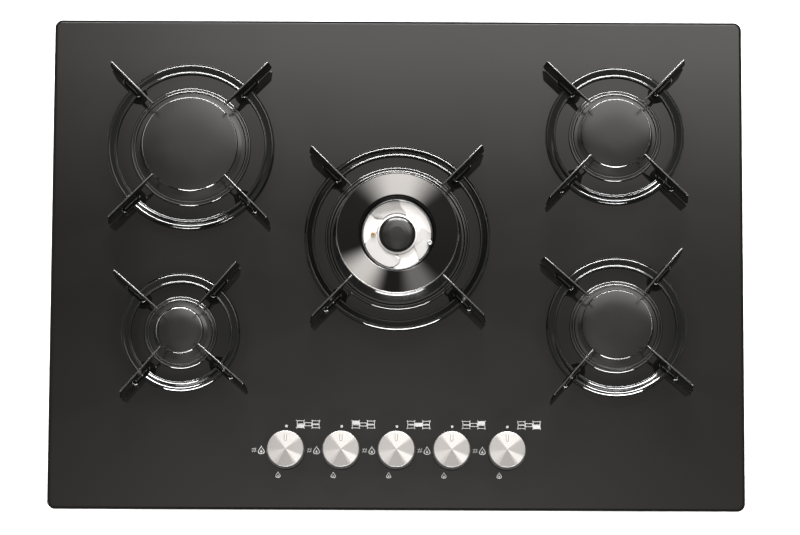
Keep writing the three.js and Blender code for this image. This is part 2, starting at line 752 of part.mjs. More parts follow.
function panSupport(burner, height) {
  const { ring, reach, cap } = burner;
  const tip = cap + FIN_TIP_CLEARANCE;
  const ringBottom = PAD_HEIGHT + SEAT_GAP;
  const band = turnedSolid([
    [ring - RING_BAND, ringBottom],
    [ring, ringBottom],
    [ring - 2, RING_HEIGHT],
    [ring - RING_BAND, RING_HEIGHT - 3],
  ], RING_FACETS);
  const parts = [band.rotate([0, 0, burner.turn + 180 / RING_FACETS])];
  for (let side = 0; side < 4; side += 1) {
    const turn = THREE.MathUtils.degToRad(burner.turn + 45 + 90 * side);
    const fin = extruded(finShape(tip, reach, ring, height), 0, FIN_THICKNESS, 2);
    fin.rotateX(Math.PI / 2).translate(0, FIN_THICKNESS / 2, 0);
    parts.push(toSolid(fin.rotateZ(turn)));
    parts.push(toSolid(finFoot(ring).rotateZ(turn)));
    parts.push(toSolid(ringTab(ring).rotateZ(turn)));
    const [x, y] = polar(ring - RING_BAND / 2, burner.turn + 90 * side);
    parts.push(block(PAD_SIZE, PAD_SIZE, SEAT_GAP, ringBottom + 1, x, y));
  }
  return at(burner.x, burner.y, GLASS_TOP, [
    solidPiece(`${burner.name}_pan_support`, joined(parts), BLACK_ENAMEL),
  ]);
}

// ---------------------------------------------------------------- knobs and taps

const SPINDLE_SOCKET_TOP = KNOB_TOP - 4.5;
const SPINDLE_END = -24; // lower end of the round part, above the plug
const BLADE_END = -33;
const PLUG_TOP = SPINDLE_END - PRESS_TRAVEL - 1;
const PLUG_BOTTOM = -43.5;

function knob(name) {
  const body = turnedSolid([
    [0, SPINDLE_SOCKET_TOP],
    [SPINDLE_RADIUS + SEAT_GAP, SPINDLE_SOCKET_TOP],
    [SPINDLE_RADIUS + SEAT_GAP, KNOB_LIFT],
    [KNOB_RADIUS + KNOB_FLARE, KNOB_LIFT],
    [KNOB_RADIUS, KNOB_TOP - 1],
    [KNOB_RADIUS - 1.2, KNOB_TOP],
    [0, KNOB_TOP - 0.4],
  ], KNOB_FACETS);
  const mark = new THREE.Shape();
  mark.absarc(0, KNOB_RADIUS - 4, 1.2, 0, Math.PI);
  mark.absarc(0, KNOB_RADIUS - 9.5, 1.2, Math.PI, Math.PI * 2);
  mark.closePath();
  const groove = toSolid(extruded(mark, KNOB_TOP - 1, KNOB_TOP + 1, 2));
  return solidPiece(`${name}_knob`, body.subtract(groove), BRIGHT_ALUMINIUM);
}

function spindle(name) {
  const section = new THREE.Shape();
  const flatAngle = Math.acos(SPINDLE_FLAT / SPINDLE_RADIUS);
  section.absarc(0, 0, SPINDLE_RADIUS, Math.PI / 2 + flatAngle, Math.PI * 2.5 - flatAngle);
  section.closePath();
  const shaft = toSolid(extruded(section, SPINDLE_END, SPINDLE_SOCKET_TOP - SEAT_GAP, 5));
  return solidPiece(`${name}_spindle`, shaft.add(block(5.6, 2, BLADE_END, SPINDLE_END + 1)), STEEL);
}

function tapPlug(name) {
  const plug = bar(4.4, PLUG_BOTTOM, PLUG_TOP, TAP_FACETS, 0, 0, 5.6);
  const slot = block(6.6, 2 + 2 * RUN_GAP, BLADE_END - PRESS_TRAVEL - 1, PLUG_TOP + 1);
  const gasWay = barAlongY(1.6, -8, 8, BLADE_END - PRESS_TRAVEL - 4, 6);
  return solidPiece(`${name}_tap_plug`, cutBy(plug, [slot, gasWay]), BRASS);
}

function tapBody(name) {
  const bottom = PLUG_BOTTOM - SEAT_GAP - 2.5;
  const body = turnedSolid([
    [0, bottom],
    [TAP_RADIUS, bottom],
    [TAP_RADIUS, -12],
    [SPINDLE_RADIUS + RUN_GAP, -12],
    [SPINDLE_RADIUS + RUN_GAP, -21],
    [5.6 + RUN_GAP, -22],
    [5.6 + RUN_GAP, PLUG_TOP],
    [4.4 + RUN_GAP, PLUG_BOTTOM - SEAT_GAP],
    [0, PLUG_BOTTOM - SEAT_GAP],
  ], TAP_FACETS);
  const outlet = barAlongY(PIPE_RADIUS + 1.5, TAP_RADIUS - 2, TAP_RADIUS + 6, -GAS_LINE_DROP, 6);
  const railFace = -RAIL_OFFSET + RAIL_RADIUS + SEAT_GAP;
  const inlet = barAlongY(PIPE_RADIUS + 1.5, railFace, -TAP_RADIUS + 2, -GAS_LINE_DROP, 6);
  return solidPiece(`${name}_tap_body`, joined([body, outlet, inlet]), CAST_ALUMINIUM);
}

function control(name, order) {
  return at(knobX(order), KNOB_ROW_Y, GLASS_TOP, [knob(name), spindle(name), tapPlug(name), tapBody(name)]);
}

// ---------------------------------------------------------------- gas rail and electrics

const RAIL_Y = KNOB_ROW_Y - RAIL_OFFSET;
const RAIL_Z = GLASS_TOP - GAS_LINE_DROP;

function gasRail() {
  const side = TRAY_WIDTH / 2 - TRAY_DRAFT - SHEET - RAIL_RADIUS - RAIL_WALL_GAP;
  const roofRun = POCKET_HEIGHT + SHEET + RAIL_RADIUS + 1;
  const bend = 24;
  const climbEnd = TRAY_DEPTH / 2 - POCKET_SIZE - RAIL_RADIUS - 2;
  const climbStart = climbEnd - 26;
  const at3 = (x, y, z) => new THREE.Vector3(x, y, z);
  const corner = new THREE.QuadraticBezierCurve3(
    at3(side - bend, RAIL_Y, RAIL_Z),
    at3(side, RAIL_Y, RAIL_Z),
    at3(side, RAIL_Y + bend, RAIL_Z),
  );
  const climb = new THREE.CubicBezierCurve3(
    at3(side, climbStart, RAIL_Z),
    at3(side, climbStart + 13, RAIL_Z),
    at3(INLET_X, climbEnd - 13, roofRun),
    at3(INLET_X, climbEnd, roofRun),
  );
  const brackets = [knobX(0) + KNOB_PITCH / 2, knobX(4) - KNOB_PITCH / 2].map((x) => block(
    12,
    3,
    SHEET + SEAT_GAP,
    RAIL_Z,
    x,
    RAIL_Y,
  ));
  return solidPiece('gas_rail', joined([
    barAlongX(RAIL_RADIUS, knobX(0) - 24, side - bend + 1, RAIL_Y, RAIL_Z, 8),
    toSolid(tube(RAIL_RADIUS, corner, 4, 8)),
    barAlongY(RAIL_RADIUS, RAIL_Y + bend - 1, climbStart + 1, RAIL_Z, 8, side),
    toSolid(tube(RAIL_RADIUS, climb, 5, 8)),
    barAlongY(RAIL_RADIUS, climbEnd - 1, INLET_Y - INLET_BORE - 5 - SEAT_GAP, roofRun, 8, INLET_X),
    ...brackets,
  ]), STEEL);
}

function gasInlet() {
  const roof = POCKET_HEIGHT + SHEET;
  const head = 2 * RAIL_RADIUS + 2;
  const body = turnedSolid([
    [INLET_BORE, 2],
    [INLET_RADIUS, 2],
    [INLET_RADIUS, 17],
    [INLET_RADIUS + 3, 17],
    [INLET_RADIUS + 3, POCKET_HEIGHT - SEAT_GAP],
    [INLET_BORE + 2.5, POCKET_HEIGHT - SEAT_GAP],
    [INLET_BORE + 2.5, roof + 1],
    [INLET_BORE, roof + 1],
  ], HIDDEN_FACETS);
  const cap = block(2 * INLET_BORE + 10, 2 * INLET_BORE + 10, roof + SEAT_GAP, roof + head);
  const well = bar(INLET_BORE, 0, roof + head - 3, HIDDEN_FACETS);
  return at(INLET_X, INLET_Y, 0, [solidPiece('gas_inlet_elbow', body.add(cap).subtract(well), BRASS)]);
}

function sparkGenerator() {
  const floor = SHEET + SEAT_GAP;
  const outline = (inset) => roundedOutline(
    GENERATOR_WIDTH - 2 * inset,
    GENERATOR_DEPTH - 2 * inset,
    3,
    2,
  );
  const box = toSolid(lofted([
    { outline: outline(0), z: floor },
    { outline: outline(0), z: floor + 20 },
    { outline: outline(1.5), z: floor + 22 },
  ]));
  const posts = allBurners.map((_, i) => bar(2.4, floor + 21, floor + 28, 5, 15 * (i - 2), 8));
  return at(GENERATOR_X, TRAY_DEPTH / 2 - GENERATOR_DEPTH / 2 - 17, 0, [
    solidPiece('spark_generator', joined([box, ...posts]), MOULDED_PLASTIC),
  ]);
}

function terminalBlock() {
  const floor = SHEET + SEAT_GAP;
  const box = block(TERMINAL_WIDTH, TERMINAL_DEPTH, floor, floor + 18);
  const wells = [-1, 0, 1].map((side) => bar(3, floor + 6, floor + 20, 6, side * TERMINAL_PITCH, 4));
  const entry = barAlongY(4.5, 6, 20, floor + 10, 10, 0);
  return at(CABLE_X, TRAY_DEPTH / 2 - TERMINAL_DEPTH / 2 - 12, 0, [
    solidPiece('terminal_block', cutBy(box, [...wells, entry]), MOULDED_PLASTIC),
  ]);
}

// ---------------------------------------------------------------- assembly

const cooktop = new THREE.Group();
cooktop.add(glassPanel(), bottomTray(), worktopSeal());
cooktop.add(...PLAIN_BURNERS.map(plainBurner), wokBurner());
cooktop.add(...PLAIN_BURNERS.map((burner) => panSupport(burner, PLAIN_FIN_HEIGHT)));
cooktop.add(panSupport(WOK, WOK_FIN_HEIGHT));
cooktop.add(...KNOB_ORDER.map(control));
cooktop.add(gasRail(), gasInlet(), sparkGenerator(), terminalBlock());

export default cooktop;
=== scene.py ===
# Looks of a five-burner glass gas cooktop: smooth enamelled supports and caps, spun
# aluminium knobs, a swirl burner, printed signs, and the plain pieces under the glass.
# Sizes inside the functions are in millimetres; the meshes are made in metres.
import math

import bmesh
import bpy
from mathutils import Matrix, Vector


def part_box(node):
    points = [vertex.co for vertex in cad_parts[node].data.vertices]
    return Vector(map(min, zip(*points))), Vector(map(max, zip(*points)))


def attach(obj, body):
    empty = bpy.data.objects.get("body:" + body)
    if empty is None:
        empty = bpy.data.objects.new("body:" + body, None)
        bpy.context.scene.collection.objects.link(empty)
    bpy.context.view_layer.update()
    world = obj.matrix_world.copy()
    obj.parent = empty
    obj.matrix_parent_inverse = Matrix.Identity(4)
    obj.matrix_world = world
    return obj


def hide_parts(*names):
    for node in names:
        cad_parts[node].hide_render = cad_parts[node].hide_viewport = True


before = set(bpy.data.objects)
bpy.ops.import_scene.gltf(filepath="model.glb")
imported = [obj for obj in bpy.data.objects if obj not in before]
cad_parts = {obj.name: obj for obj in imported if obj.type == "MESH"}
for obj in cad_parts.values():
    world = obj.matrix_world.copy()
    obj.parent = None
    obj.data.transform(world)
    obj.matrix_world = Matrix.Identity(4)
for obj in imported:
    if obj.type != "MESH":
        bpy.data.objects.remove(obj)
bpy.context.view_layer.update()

MM = 0.001
GLASS_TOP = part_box("glass_top")[1].z / MM
GLASS_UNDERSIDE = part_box("glass_top")[0].z / MM

# Each burner: cap, trim, ring and reach radii, turn of the pan support, fin height.
BURNERS = {
    "rapid": {"cap": 48.5, "trim": 61, "ring": 85, "reach": 112, "turn": 0, "height": 48},
    "rear_semi_rapid": {"cap": 35.6, "trim": 47, "ring": 70.5, "reach": 98, "turn": 1, "height": 48},
    "front_semi_rapid": {"cap": 35.6, "trim": 47, "ring": 70.5, "reach": 98, "turn": 4, "height": 48},
    "auxiliary": {"cap": 24, "trim": 37, "ring": 60, "reach": 87, "turn": 4, "height": 48},
    "wok": {"cap": 62, "trim": 73, "ring": 94, "reach": 121.5, "turn": 0.6, "height": 57},
}
KNOBS = ["auxiliary", "rapid", "wok", "rear_semi_rapid", "front_semi_rapid"]
KNOB_RADIUS = 18.1
KNOB_FOOT = 19.3
KNOB_TOP = 18
KNOB_LIFT = 3.6

CROWN_TOP = 16.2
CUP_RIM = 6
WOK_CUP_RIM = 12
WOK_CROWN_TOP = 34.2
WOK_CAP_HOLE = 37.5
WOK_CENTRE_CAP = 18.4
WOK_SWIRL_FLOOR = 26
WOK_CENTRE_SEAT = 29
SEAT_GAP = 0.3


def on_glass(node):
    """The place on the glass under the middle of a CAD node."""
    low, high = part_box(node)
    return ((low.x + high.x) / 2 / MM, (low.y + high.y) / 2 / MM, GLASS_TOP)


PLACES = {name: on_glass(f"{name}_pan_support") for name in BURNERS}
KNOB_PLACES = {name: on_glass(f"{name}_knob") for name in KNOBS}


# ------------------------------------------------------------------ camera, floor, light

def set_camera():
    """The photograph's view: from high above the front edge, through a long lens."""
    tilt = math.radians(8.5)
    roll = math.radians(0.254)
    distance = 4.0
    focal_px = 3956
    picture_width = 800
    target = Vector((0.0029, -0.004, GLASS_TOP * MM))
    back = Vector((0, -math.sin(tilt), math.cos(tilt)))
    right = Vector((1, 0, 0))
    up = back.cross(right)
    turned_right = right * math.cos(roll) + up * math.sin(roll)
    turned_up = up * math.cos(roll) - right * math.sin(roll)
    data = bpy.data.cameras.new("photo_camera")
    data.sensor_fit = "HORIZONTAL"
    data.sensor_width = 36
    data.lens = focal_px / picture_width * data.sensor_width
    data.clip_start = 0.1
    data.clip_end = 50
    camera = bpy.data.objects.new("photo_camera", data)
    rotation = Matrix((turned_right, turned_up, back)).transposed()
    camera.matrix_world = Matrix.Translation(target + back * distance) @ rotation.to_4x4()
    bpy.context.scene.collection.objects.link(camera)
    bpy.context.scene.camera = camera


def set_inputs(node, **values):
    """Sets a node's inputs by their names, with _ for a space."""
    for label, value in values.items():
        node.inputs[label.replace("_", " ")].default_value = value


def flat_sheet(name, corners, material):
    """A single face with its own object, for the floor and the ceiling card."""
    mesh = bpy.data.meshes.new(name)
    mesh.from_pydata(corners, [], [(0, 1, 2, 3)])
    mesh.materials.append(material)
    sheet = bpy.data.objects.new(name, mesh)
    bpy.context.scene.collection.objects.link(sheet)
    return sheet


def make_floor():
    material = bpy.data.materials.new("floor_paper")
    material.use_nodes = True
    shader = material.node_tree.nodes["Principled BSDF"]
    set_inputs(shader, Base_Color=(0.92, 0.92, 0.92, 1), Roughness=0.9, Specular_IOR_Level=0.1)
    set_inputs(shader, Emission_Color=(1, 1, 1, 1), Emission_Strength=0.3)
    half = 6
    corners = [(-half, -half, 0), (half, -half, 0), (half, half, 0), (-half, half, 0)]
    floor = flat_sheet("floor", corners, material)


def area_light(name, place, aim, width, height, power, glossy):
    """A soft box that lights the pieces, or a panel that is only seen in reflections."""
    data = bpy.data.lights.new(name, "AREA")
    data.shape = "RECTANGLE"
    data.size = width
    data.size_y = height
    data.energy = power
    light = bpy.data.objects.new(name, data)
    light.location = place
    direction = Vector(aim) - Vector(place)
    light.rotation_euler = direction.to_track_quat("-Z", "Y").to_euler()
    light.visible_glossy = glossy
    light.visible_diffuse = not glossy
    bpy.context.scene.collection.objects.link(light)


def make_studio():
    """Soft boxes round the cooktop, and a dim ceiling with brighter patches for the glass."""
    world = bpy.data.worlds.new("studio")
    world.use_nodes = True
    set_inputs(world.node_tree.nodes["Background"], Color=(1, 0.99, 0.97, 1), Strength=0.12)
    bpy.context.scene.world = world
    area_light("left_softbox", (-2.3, 0.5, 1.3), (0, 0, 0.05), 0.9, 0.9, 100, False)
    area_light("right_softbox", (2.3, 0.6, 1.3), (0, 0, 0.05), 0.9, 0.9, 100, False)
    area_light("rear_softbox", (0.1, 2.5, 1.7), (0, 0, 0.05), 1.5, 0.6, 130, False)
    area_light("front_softbox", (0.1, -2.3, 1.5), (0, 0, 0.05), 1.7, 0.5, 100, False)
    area_light("rear_panel", (0.1, 2.4, 1.9), (0, 0, 0.05), 2.6, 0.6, 260, True)
    area_light("front_panel", (0.15, -2.5, 0.8), (0, 0, 0.05), 2.6, 0.4, 112, True)
    bpy.context.scene.view_settings.view_transform = "Standard"


# Brightness of the ceiling card from the front to the rear, and how it varies from the left
# to the right near the front and near the rear, as (place in metres, level) pairs.
CARD_DEPTH = [
    (-0.4, 0.9), (-0.09, 1.0), (0.13, 0.66), (0.3, 0.56), (0.47, 0.82), (0.66, 2.6), (1.0, 3.4),
]
CARD_FRONT = [(-0.62, 0.42), (-0.36, 0.95), (0.0, 1.35), (0.3, 1.0), (0.55, 0.6)]
CARD_REAR = [(-0.62, 0.34), (-0.4, 0.76), (-0.2, 1.15), (0.1, 1.15), (0.35, 1.25), (0.6, 1.25)]
CARD_PEAK = 3.5
CARD_SIDE_PEAK = 1.5
CARD_HEIGHT = 2.2
CARD_TINT = (1, 0.965, 0.93, 1)


def tone_ramp(nodes, places, tones, interpolation):
    """A colour ramp with one stop for each place from 0 to 1."""
    ramp = nodes.new("ShaderNodeValToRGB")
    ramp.color_ramp.interpolation = interpolation
    elements = ramp.color_ramp.elements
    elements[0].position = 0
    elements[1].position = 1
    for place in places[1:-1]:
        elements.new(place)
    for element, tone in zip(elements, tones):
        element.color = (*tone, 1)
    return ramp


def card_profile(nodes, links, place, levels, peak):
    """A smooth curve through (place, level) pairs, as a value."""
    first, last = levels[0][0], levels[-1][0]
    spread = nodes.new("ShaderNodeMapRange")
    set_inputs(spread, From_Min=first, From_Max=last)
    links.new(place, spread.inputs["Value"])
    places = [(where - first) / (last - first) for where, _ in levels]
    ramp = tone_ramp(nodes, places, [(level / peak,) * 3 for _, level in levels], "B_SPLINE")
    links.new(spread.outputs["Result"], ramp.inputs["Fac"])
    return ramp.outputs["Color"]


def ceiling_card():
    """A dim card over the cooktop with a smooth gradient, seen only in reflections."""
    material = bpy.data.materials.new("ceiling_card")
    material.use_nodes = True
    tree = material.node_tree
    nodes, links = tree.nodes, tree.links
    nodes.clear()
    output = nodes.new("ShaderNodeOutputMaterial")
    emission = nodes.new("ShaderNodeEmission")
    split = nodes.new("ShaderNodeSeparateXYZ")
    links.new(object_place(tree), split.inputs["Vector"])
    depth = card_profile(nodes, links, split.outputs["Y"], CARD_DEPTH, CARD_PEAK)
    front = card_profile(nodes, links, split.outputs["X"], CARD_FRONT, CARD_SIDE_PEAK)
    rear = card_profile(nodes, links, split.outputs["X"], CARD_REAR, CARD_SIDE_PEAK)
    blend = nodes.new("ShaderNodeMix")
    rise = nodes.new("ShaderNodeMapRange")
    set_inputs(rise, From_Min=0.05, From_Max=0.4)
    links.new(split.outputs["Y"], rise.inputs["Value"])
    links.new(rise.outputs["Result"], blend.inputs["Factor"])
    links.new(front, blend.inputs["A"])
    links.new(rear, blend.inputs["B"])
    level = math_node(tree, "MULTIPLY", depth, blend.outputs["Result"])
    strength = math_node(tree, "MULTIPLY", level, CARD_PEAK * CARD_SIDE_PEAK)
    links.new(strength, emission.inputs["Strength"])
    set_inputs(emission, Color=CARD_TINT)
    links.new(emission.outputs["Emission"], output.inputs["Surface"])
    corners = [(-1.5, -1.5, 0), (-1.5, 2.0, 0), (1.5, 2.0, 0), (1.5, -1.5, 0)]
    card = flat_sheet("ceiling_card", corners, material)
    card.location = (0, 0, CARD_HEIGHT)
    card.visible_camera = False
    card.visible_shadow = False
    card.visible_diffuse = False


# ------------------------------------------------------------------ shared effects

def group_with(name, inputs, outputs):
    """An empty node group with number inputs, given with their values, and number outputs."""
    group = bpy.data.node_groups.new(name, "ShaderNodeTree")
    for label, value in inputs.items():
        socket = group.interface.new_socket(name=label, in_out="INPUT", socket_type="NodeSocketFloat")
        socket.default_value = value
    for label in outputs:
        group.interface.new_socket(name=label, in_out="OUTPUT", socket_type="NodeSocketFloat")
    entry = group.nodes.new("NodeGroupInput")
    leave = group.nodes.new("NodeGroupOutput")
    return group, entry, leave


def object_place(tree):
    """Where a point lies on its own piece, in metres."""
    return tree.nodes.new("ShaderNodeTexCoord").outputs["Object"]


def math_node(tree, operation, *values):
    """A math step on numbers or sockets; returns its result."""
    node = tree.nodes.new("ShaderNodeMath")
    node.operation = operation
    for index, value in enumerate(values):
        if isinstance(value, (int, float)):
            node.inputs[index].default_value = value
        else:
            tree.links.new(value, node.inputs[index])
    return node.outputs[0]


def roughness_between(group, entry, value, leave):
    """Spreads a noise over the group's two roughness inputs."""
    links = group.links
    spread = group.nodes.new("ShaderNodeMapRange")
    set_inputs(spread, From_Min=0.3, From_Max=0.7)
    links.new(value, spread.inputs["Value"])
    links.new(entry.outputs["Roughness Low"], spread.inputs["To Min"])
    links.new(entry.outputs["Roughness High"], spread.inputs["To Max"])
    links.new(spread.outputs["Result"], leave.inputs["Roughness"])


def surface_grain_group():
    """Fine unevenness: a height for Bump, and a roughness that wanders between two values."""
    group, entry, leave = group_with(
        "surface_grain",
        {"Grain Scale": 800, "Patch Scale": 30, "Roughness Low": 0.2, "Roughness High": 0.4},
        ["Height", "Roughness", "Patches"],
    )
    nodes, links = group.nodes, group.links
    place = object_place(group)
    grain = nodes.new("ShaderNodeTexNoise")
    set_inputs(grain, Detail=3)
    patches = nodes.new("ShaderNodeTexNoise")
    set_inputs(patches, Detail=4)
    links.new(place, grain.inputs["Vector"])
    links.new(place, patches.inputs["Vector"])
    links.new(entry.outputs["Grain Scale"], grain.inputs["Scale"])
    links.new(entry.outputs["Patch Scale"], patches.inputs["Scale"])
    roughness_between(group, entry, patches.outputs["Fac"], leave)
    links.new(grain.outputs["Fac"], leave.inputs["Height"])
    links.new(patches.outputs["Fac"], leave.inputs["Patches"])
    return group


# Number of lobes of painted sheen round a turned piece.
SECTOR_COUNT = 3


def turning_marks_group():
    """Concentric tool marks about the piece's own Z axis, and soft sectors of painted sheen."""
    group, entry, leave = group_with(
        "turning_marks",
        {"Ring Scale": 900, "Roughness Low": 0.2, "Roughness High": 0.3},
        ["Height", "Roughness", "Painted Sheen", "Turn"],
    )
    nodes, links = group.nodes, group.links
    place = object_place(group)
    split = nodes.new("ShaderNodeSeparateXYZ")
    links.new(place, split.inputs["Vector"])
    square_x = math_node(group, "MULTIPLY", split.outputs["X"], split.outputs["X"])
    square_y = math_node(group, "MULTIPLY", split.outputs["Y"], split.outputs["Y"])
    radius = math_node(group, "SQRT", math_node(group, "ADD", square_x, square_y))
    angle = math_node(group, "ARCTAN2", split.outputs["Y"], split.outputs["X"])
    rings = nodes.new("ShaderNodeTexNoise")
    rings.noise_dimensions = "1D"
    set_inputs(rings, Detail=4)
    links.new(radius, rings.inputs["W"])
    links.new(entry.outputs["Ring Scale"], rings.inputs["Scale"])
    roughness_between(group, entry, rings.outputs["Fac"], leave)
    wave = math_node(group, "SINE", math_node(group, "MULTIPLY", angle, SECTOR_COUNT))
    painted_sheen = math_node(group, "MULTIPLY_ADD", wave, 0.5, 0.5)
    turn = math_node(group, "FRACT", math_node(group, "DIVIDE", angle, 2 * math.pi))
    links.new(turn, leave.inputs["Turn"])
    links.new(rings.outputs["Fac"], leave.inputs["Height"])
    links.new(painted_sheen, leave.inputs["Painted Sheen"])
    return group


def light_dust_group():
    """Sparse pale specks, as fine dust that settles on a dark gloss surface."""
    group, entry, leave = group_with(
        "light_dust",
        {"Speck Scale": 260, "Amount": 0.5},
        ["Specks"],
    )
    nodes, links = group.nodes, group.links
    place = object_place(group)
    cells = nodes.new("ShaderNodeTexVoronoi")
    cells.feature = "F1"
    links.new(place, cells.inputs["Vector"])
    links.new(entry.outputs["Speck Scale"], cells.inputs["Scale"])
    near = nodes.new("ShaderNodeMapRange")
    set_inputs(near, From_Min=0.05, From_Max=0.02)
    links.new(cells.outputs["Distance"], near.inputs["Value"])
    chosen = math_node(group, "GREATER_THAN", cells.outputs["Color"], 0.8)
    specks = math_node(group, "MULTIPLY", near.outputs["Result"], chosen)
    amount = math_node(group, "MULTIPLY", specks, entry.outputs["Amount"])
    links.new(amount, leave.inputs["Specks"])
    return group


GRAIN = surface_grain_group()
TURNING = turning_marks_group()
DUST = light_dust_group()


# ------------------------------------------------------------------ finishes

class Finish:
    """One material: its Principled shader, and short ways to wire the shared effects in."""

    def __init__(self, name, colour, metallic=0.0):
        self.material = bpy.data.materials.new(name)
        self.material.use_nodes = True
        self.nodes = self.material.node_tree.nodes
        self.links = self.material.node_tree.links
        self.shader = self.nodes["Principled BSDF"]
        self.colour = (*colour, 1)
        set_inputs(self.shader, Base_Color=self.colour, Metallic=metallic)

    def add(self, group, **values):
        node = self.nodes.new("ShaderNodeGroup")
        node.node_tree = group
        set_inputs(node, **values)
        return node

    def bump(self, height, depth_mm, strength=1.0):
        node = self.nodes.new("ShaderNodeBump")
        set_inputs(node, Distance=depth_mm * MM, Strength=strength)
        self.links.new(height, node.inputs["Height"])
        self.links.new(node.outputs["Normal"], self.shader.inputs["Normal"])

    def roughness(self, value):
        self.links.new(value, self.shader.inputs["Roughness"])

    def tint(self, mask, other):
        mix = self.nodes.new("ShaderNodeMix")
        mix.data_type = "RGBA"
        set_inputs(mix, A=self.colour, B=(*other, 1))
        self.links.new(mask, mix.inputs["Factor"])
        self.links.new(mix.outputs["Result"], self.shader.inputs["Base Color"])


# Bright and dark fans of a spun face, painted into its colour as painted highlights and painted shade: its
# plain tone, then for each fan its middle, the half width of its even core and of its soft sides, as shares
# of a turn from the right, and its tone.
KNOB_PLAIN = 0.59
KNOB_PAINTED_LIGHT_FANS = [
    (0.23, 0.1, 0.15, 1.0), (0.58, 0.02, 0.09, 0.74), (0.75, 0.075, 0.08, 0.46), (0.895, 0.025, 0.06, 0.98),
]
RING_CAP_PLAIN = 0.01
RING_CAP_PAINTED_LIGHT_FANS = [(0.245, 0.02, 0.14, 0.3), (0.635, 0.01, 0.085, 0.46), (0.815, 0.01, 0.065, 0.11)]


def fan_stops(plain, fans):
    """Stops of a tone ramp over one turn, as (place, tone) pairs."""
    stops = [(0.0, plain)]
    for middle, core, soft, tone in fans:
        stops += [(middle - soft, plain), (middle - core, tone)]
        stops += [(middle + core, tone), (middle + soft, plain)]
    return stops + [(1.0, plain)]


def painted_light_sector_finish(name, plain, fans, low, high, ring_scale):
    """Spun metal with circular tool marks; its bright and dark sectors are painted highlights and painted
    shade in the base colour.
    """
    finish = Finish(name, (0.5, 0.5, 0.5), 1.0)
    marks = finish.add(TURNING, Ring_Scale=ring_scale, Roughness_Low=low, Roughness_High=high)
    finish.roughness(marks.outputs["Roughness"])
    finish.bump(marks.outputs["Height"], 0.004, 0.5)
    stops = fan_stops(plain, fans)
    tones = [(tone, tone * 0.98, tone * 0.965) for _, tone in stops]
    ramp = tone_ramp(finish.nodes, [place for place, _ in stops], tones, "EASE")
    finish.links.new(marks.outputs["Turn"], ramp.inputs["Fac"])
    finish.links.new(ramp.outputs["Color"], finish.shader.inputs["Base Color"])
    return finish.material


def grained(name, colour, other, metallic, roughness, scales, depth_mm):
    """An even finish whose tone wanders between two colours. scales: of the grain and patches."""
    finish = Finish(name, colour, metallic)
    (low, high), (fine, broad) = roughness, scales
    grain = finish.add(GRAIN, Grain_Scale=fine, Patch_Scale=broad, Roughness_Low=low, Roughness_High=high)
    finish.roughness(grain.outputs["Roughness"])
    finish.bump(grain.outputs["Height"], depth_mm)
    finish.tint(grain.outputs["Patches"], other)
    return finish.material


def glass_finish():
    finish = Finish("polished_black_glass", (0.004, 0.0038, 0.0035))
    set_inputs(finish.shader, IOR=1.46)
    grain = finish.add(GRAIN, Grain_Scale=4, Patch_Scale=7, Roughness_Low=0.015, Roughness_High=0.06)
    dust = finish.add(DUST, Speck_Scale=170, Amount=0.35)
    finish.roughness(grain.outputs["Roughness"])
    finish.tint(dust.outputs["Specks"], (0.18, 0.18, 0.17))
    return finish.material


def enamel_finish(name, low, high, shade, ior, specular=0.5):
    """Black vitreous enamel with a faint orange-peel surface and sparse dust."""
    finish = Finish(name, (shade, shade, shade * 0.96))
    set_inputs(finish.shader, IOR=ior, Specular_IOR_Level=specular)
    grain = finish.add(GRAIN, Grain_Scale=420, Patch_Scale=45, Roughness_Low=low, Roughness_High=high)
    dust = finish.add(DUST, Speck_Scale=420, Amount=0.4)
    finish.roughness(grain.outputs["Roughness"])
    finish.bump(grain.outputs["Height"], 0.02)
    finish.tint(dust.outputs["Specks"], (0.12, 0.12, 0.115))
    return finish.material


def spun_finish(name, colour, other, metallic, low, high, ring_scale):
    """Turned metal with concentric tool marks and three soft sectors of painted sheen in its colour."""
    finish = Finish(name, colour, metallic)
    marks = finish.add(TURNING, Ring_Scale=ring_scale, Roughness_Low=low, Roughness_High=high)
    finish.roughness(marks.outputs["Roughness"])
    finish.bump(marks.outputs["Height"], 0.01, 0.6)
    finish.tint(marks.outputs["Painted Sheen"], other)
    return finish.material


# Enamels: lowest and highest roughness, shade, index of refraction, specular level.
ENAMELS = {
    "edge_enamel": (0.05, 0.09, 0.003, 2.1),
    # A black copy of the enamel with almost no reflection: painted shade on fin sides, tab tops and burner
    # hollows.
    "painted_shade_enamel": (0.2, 0.3, 0.002, 1.5, 0.03),
    "cap_enamel": (0.16, 0.22, 0.004, 1.5),
    "trim_enamel": (0.10, 0.16, 0.004, 1.55),
}
# Spun metals: two colours, the second mixed in as sectors of painted sheen, metallic, lowest and highest
# roughness, scale of the rings.
SPUN = {
    "ring_cap_edge": ((0.13, 0.128, 0.125), (0.10, 0.098, 0.096), 1.0, 0.12, 0.2, 1500),
    "knob_skirt": ((0.055, 0.054, 0.052), (0.045, 0.044, 0.043), 0.2, 0.4, 0.5, 900),
    # The knob rim: the knob's aluminium painted darker, a painted shade that dims its reflections.
    "knob_edge_painted_shade": ((0.30, 0.295, 0.29), (0.26, 0.255, 0.25), 0.6, 0.35, 0.45, 900),
}
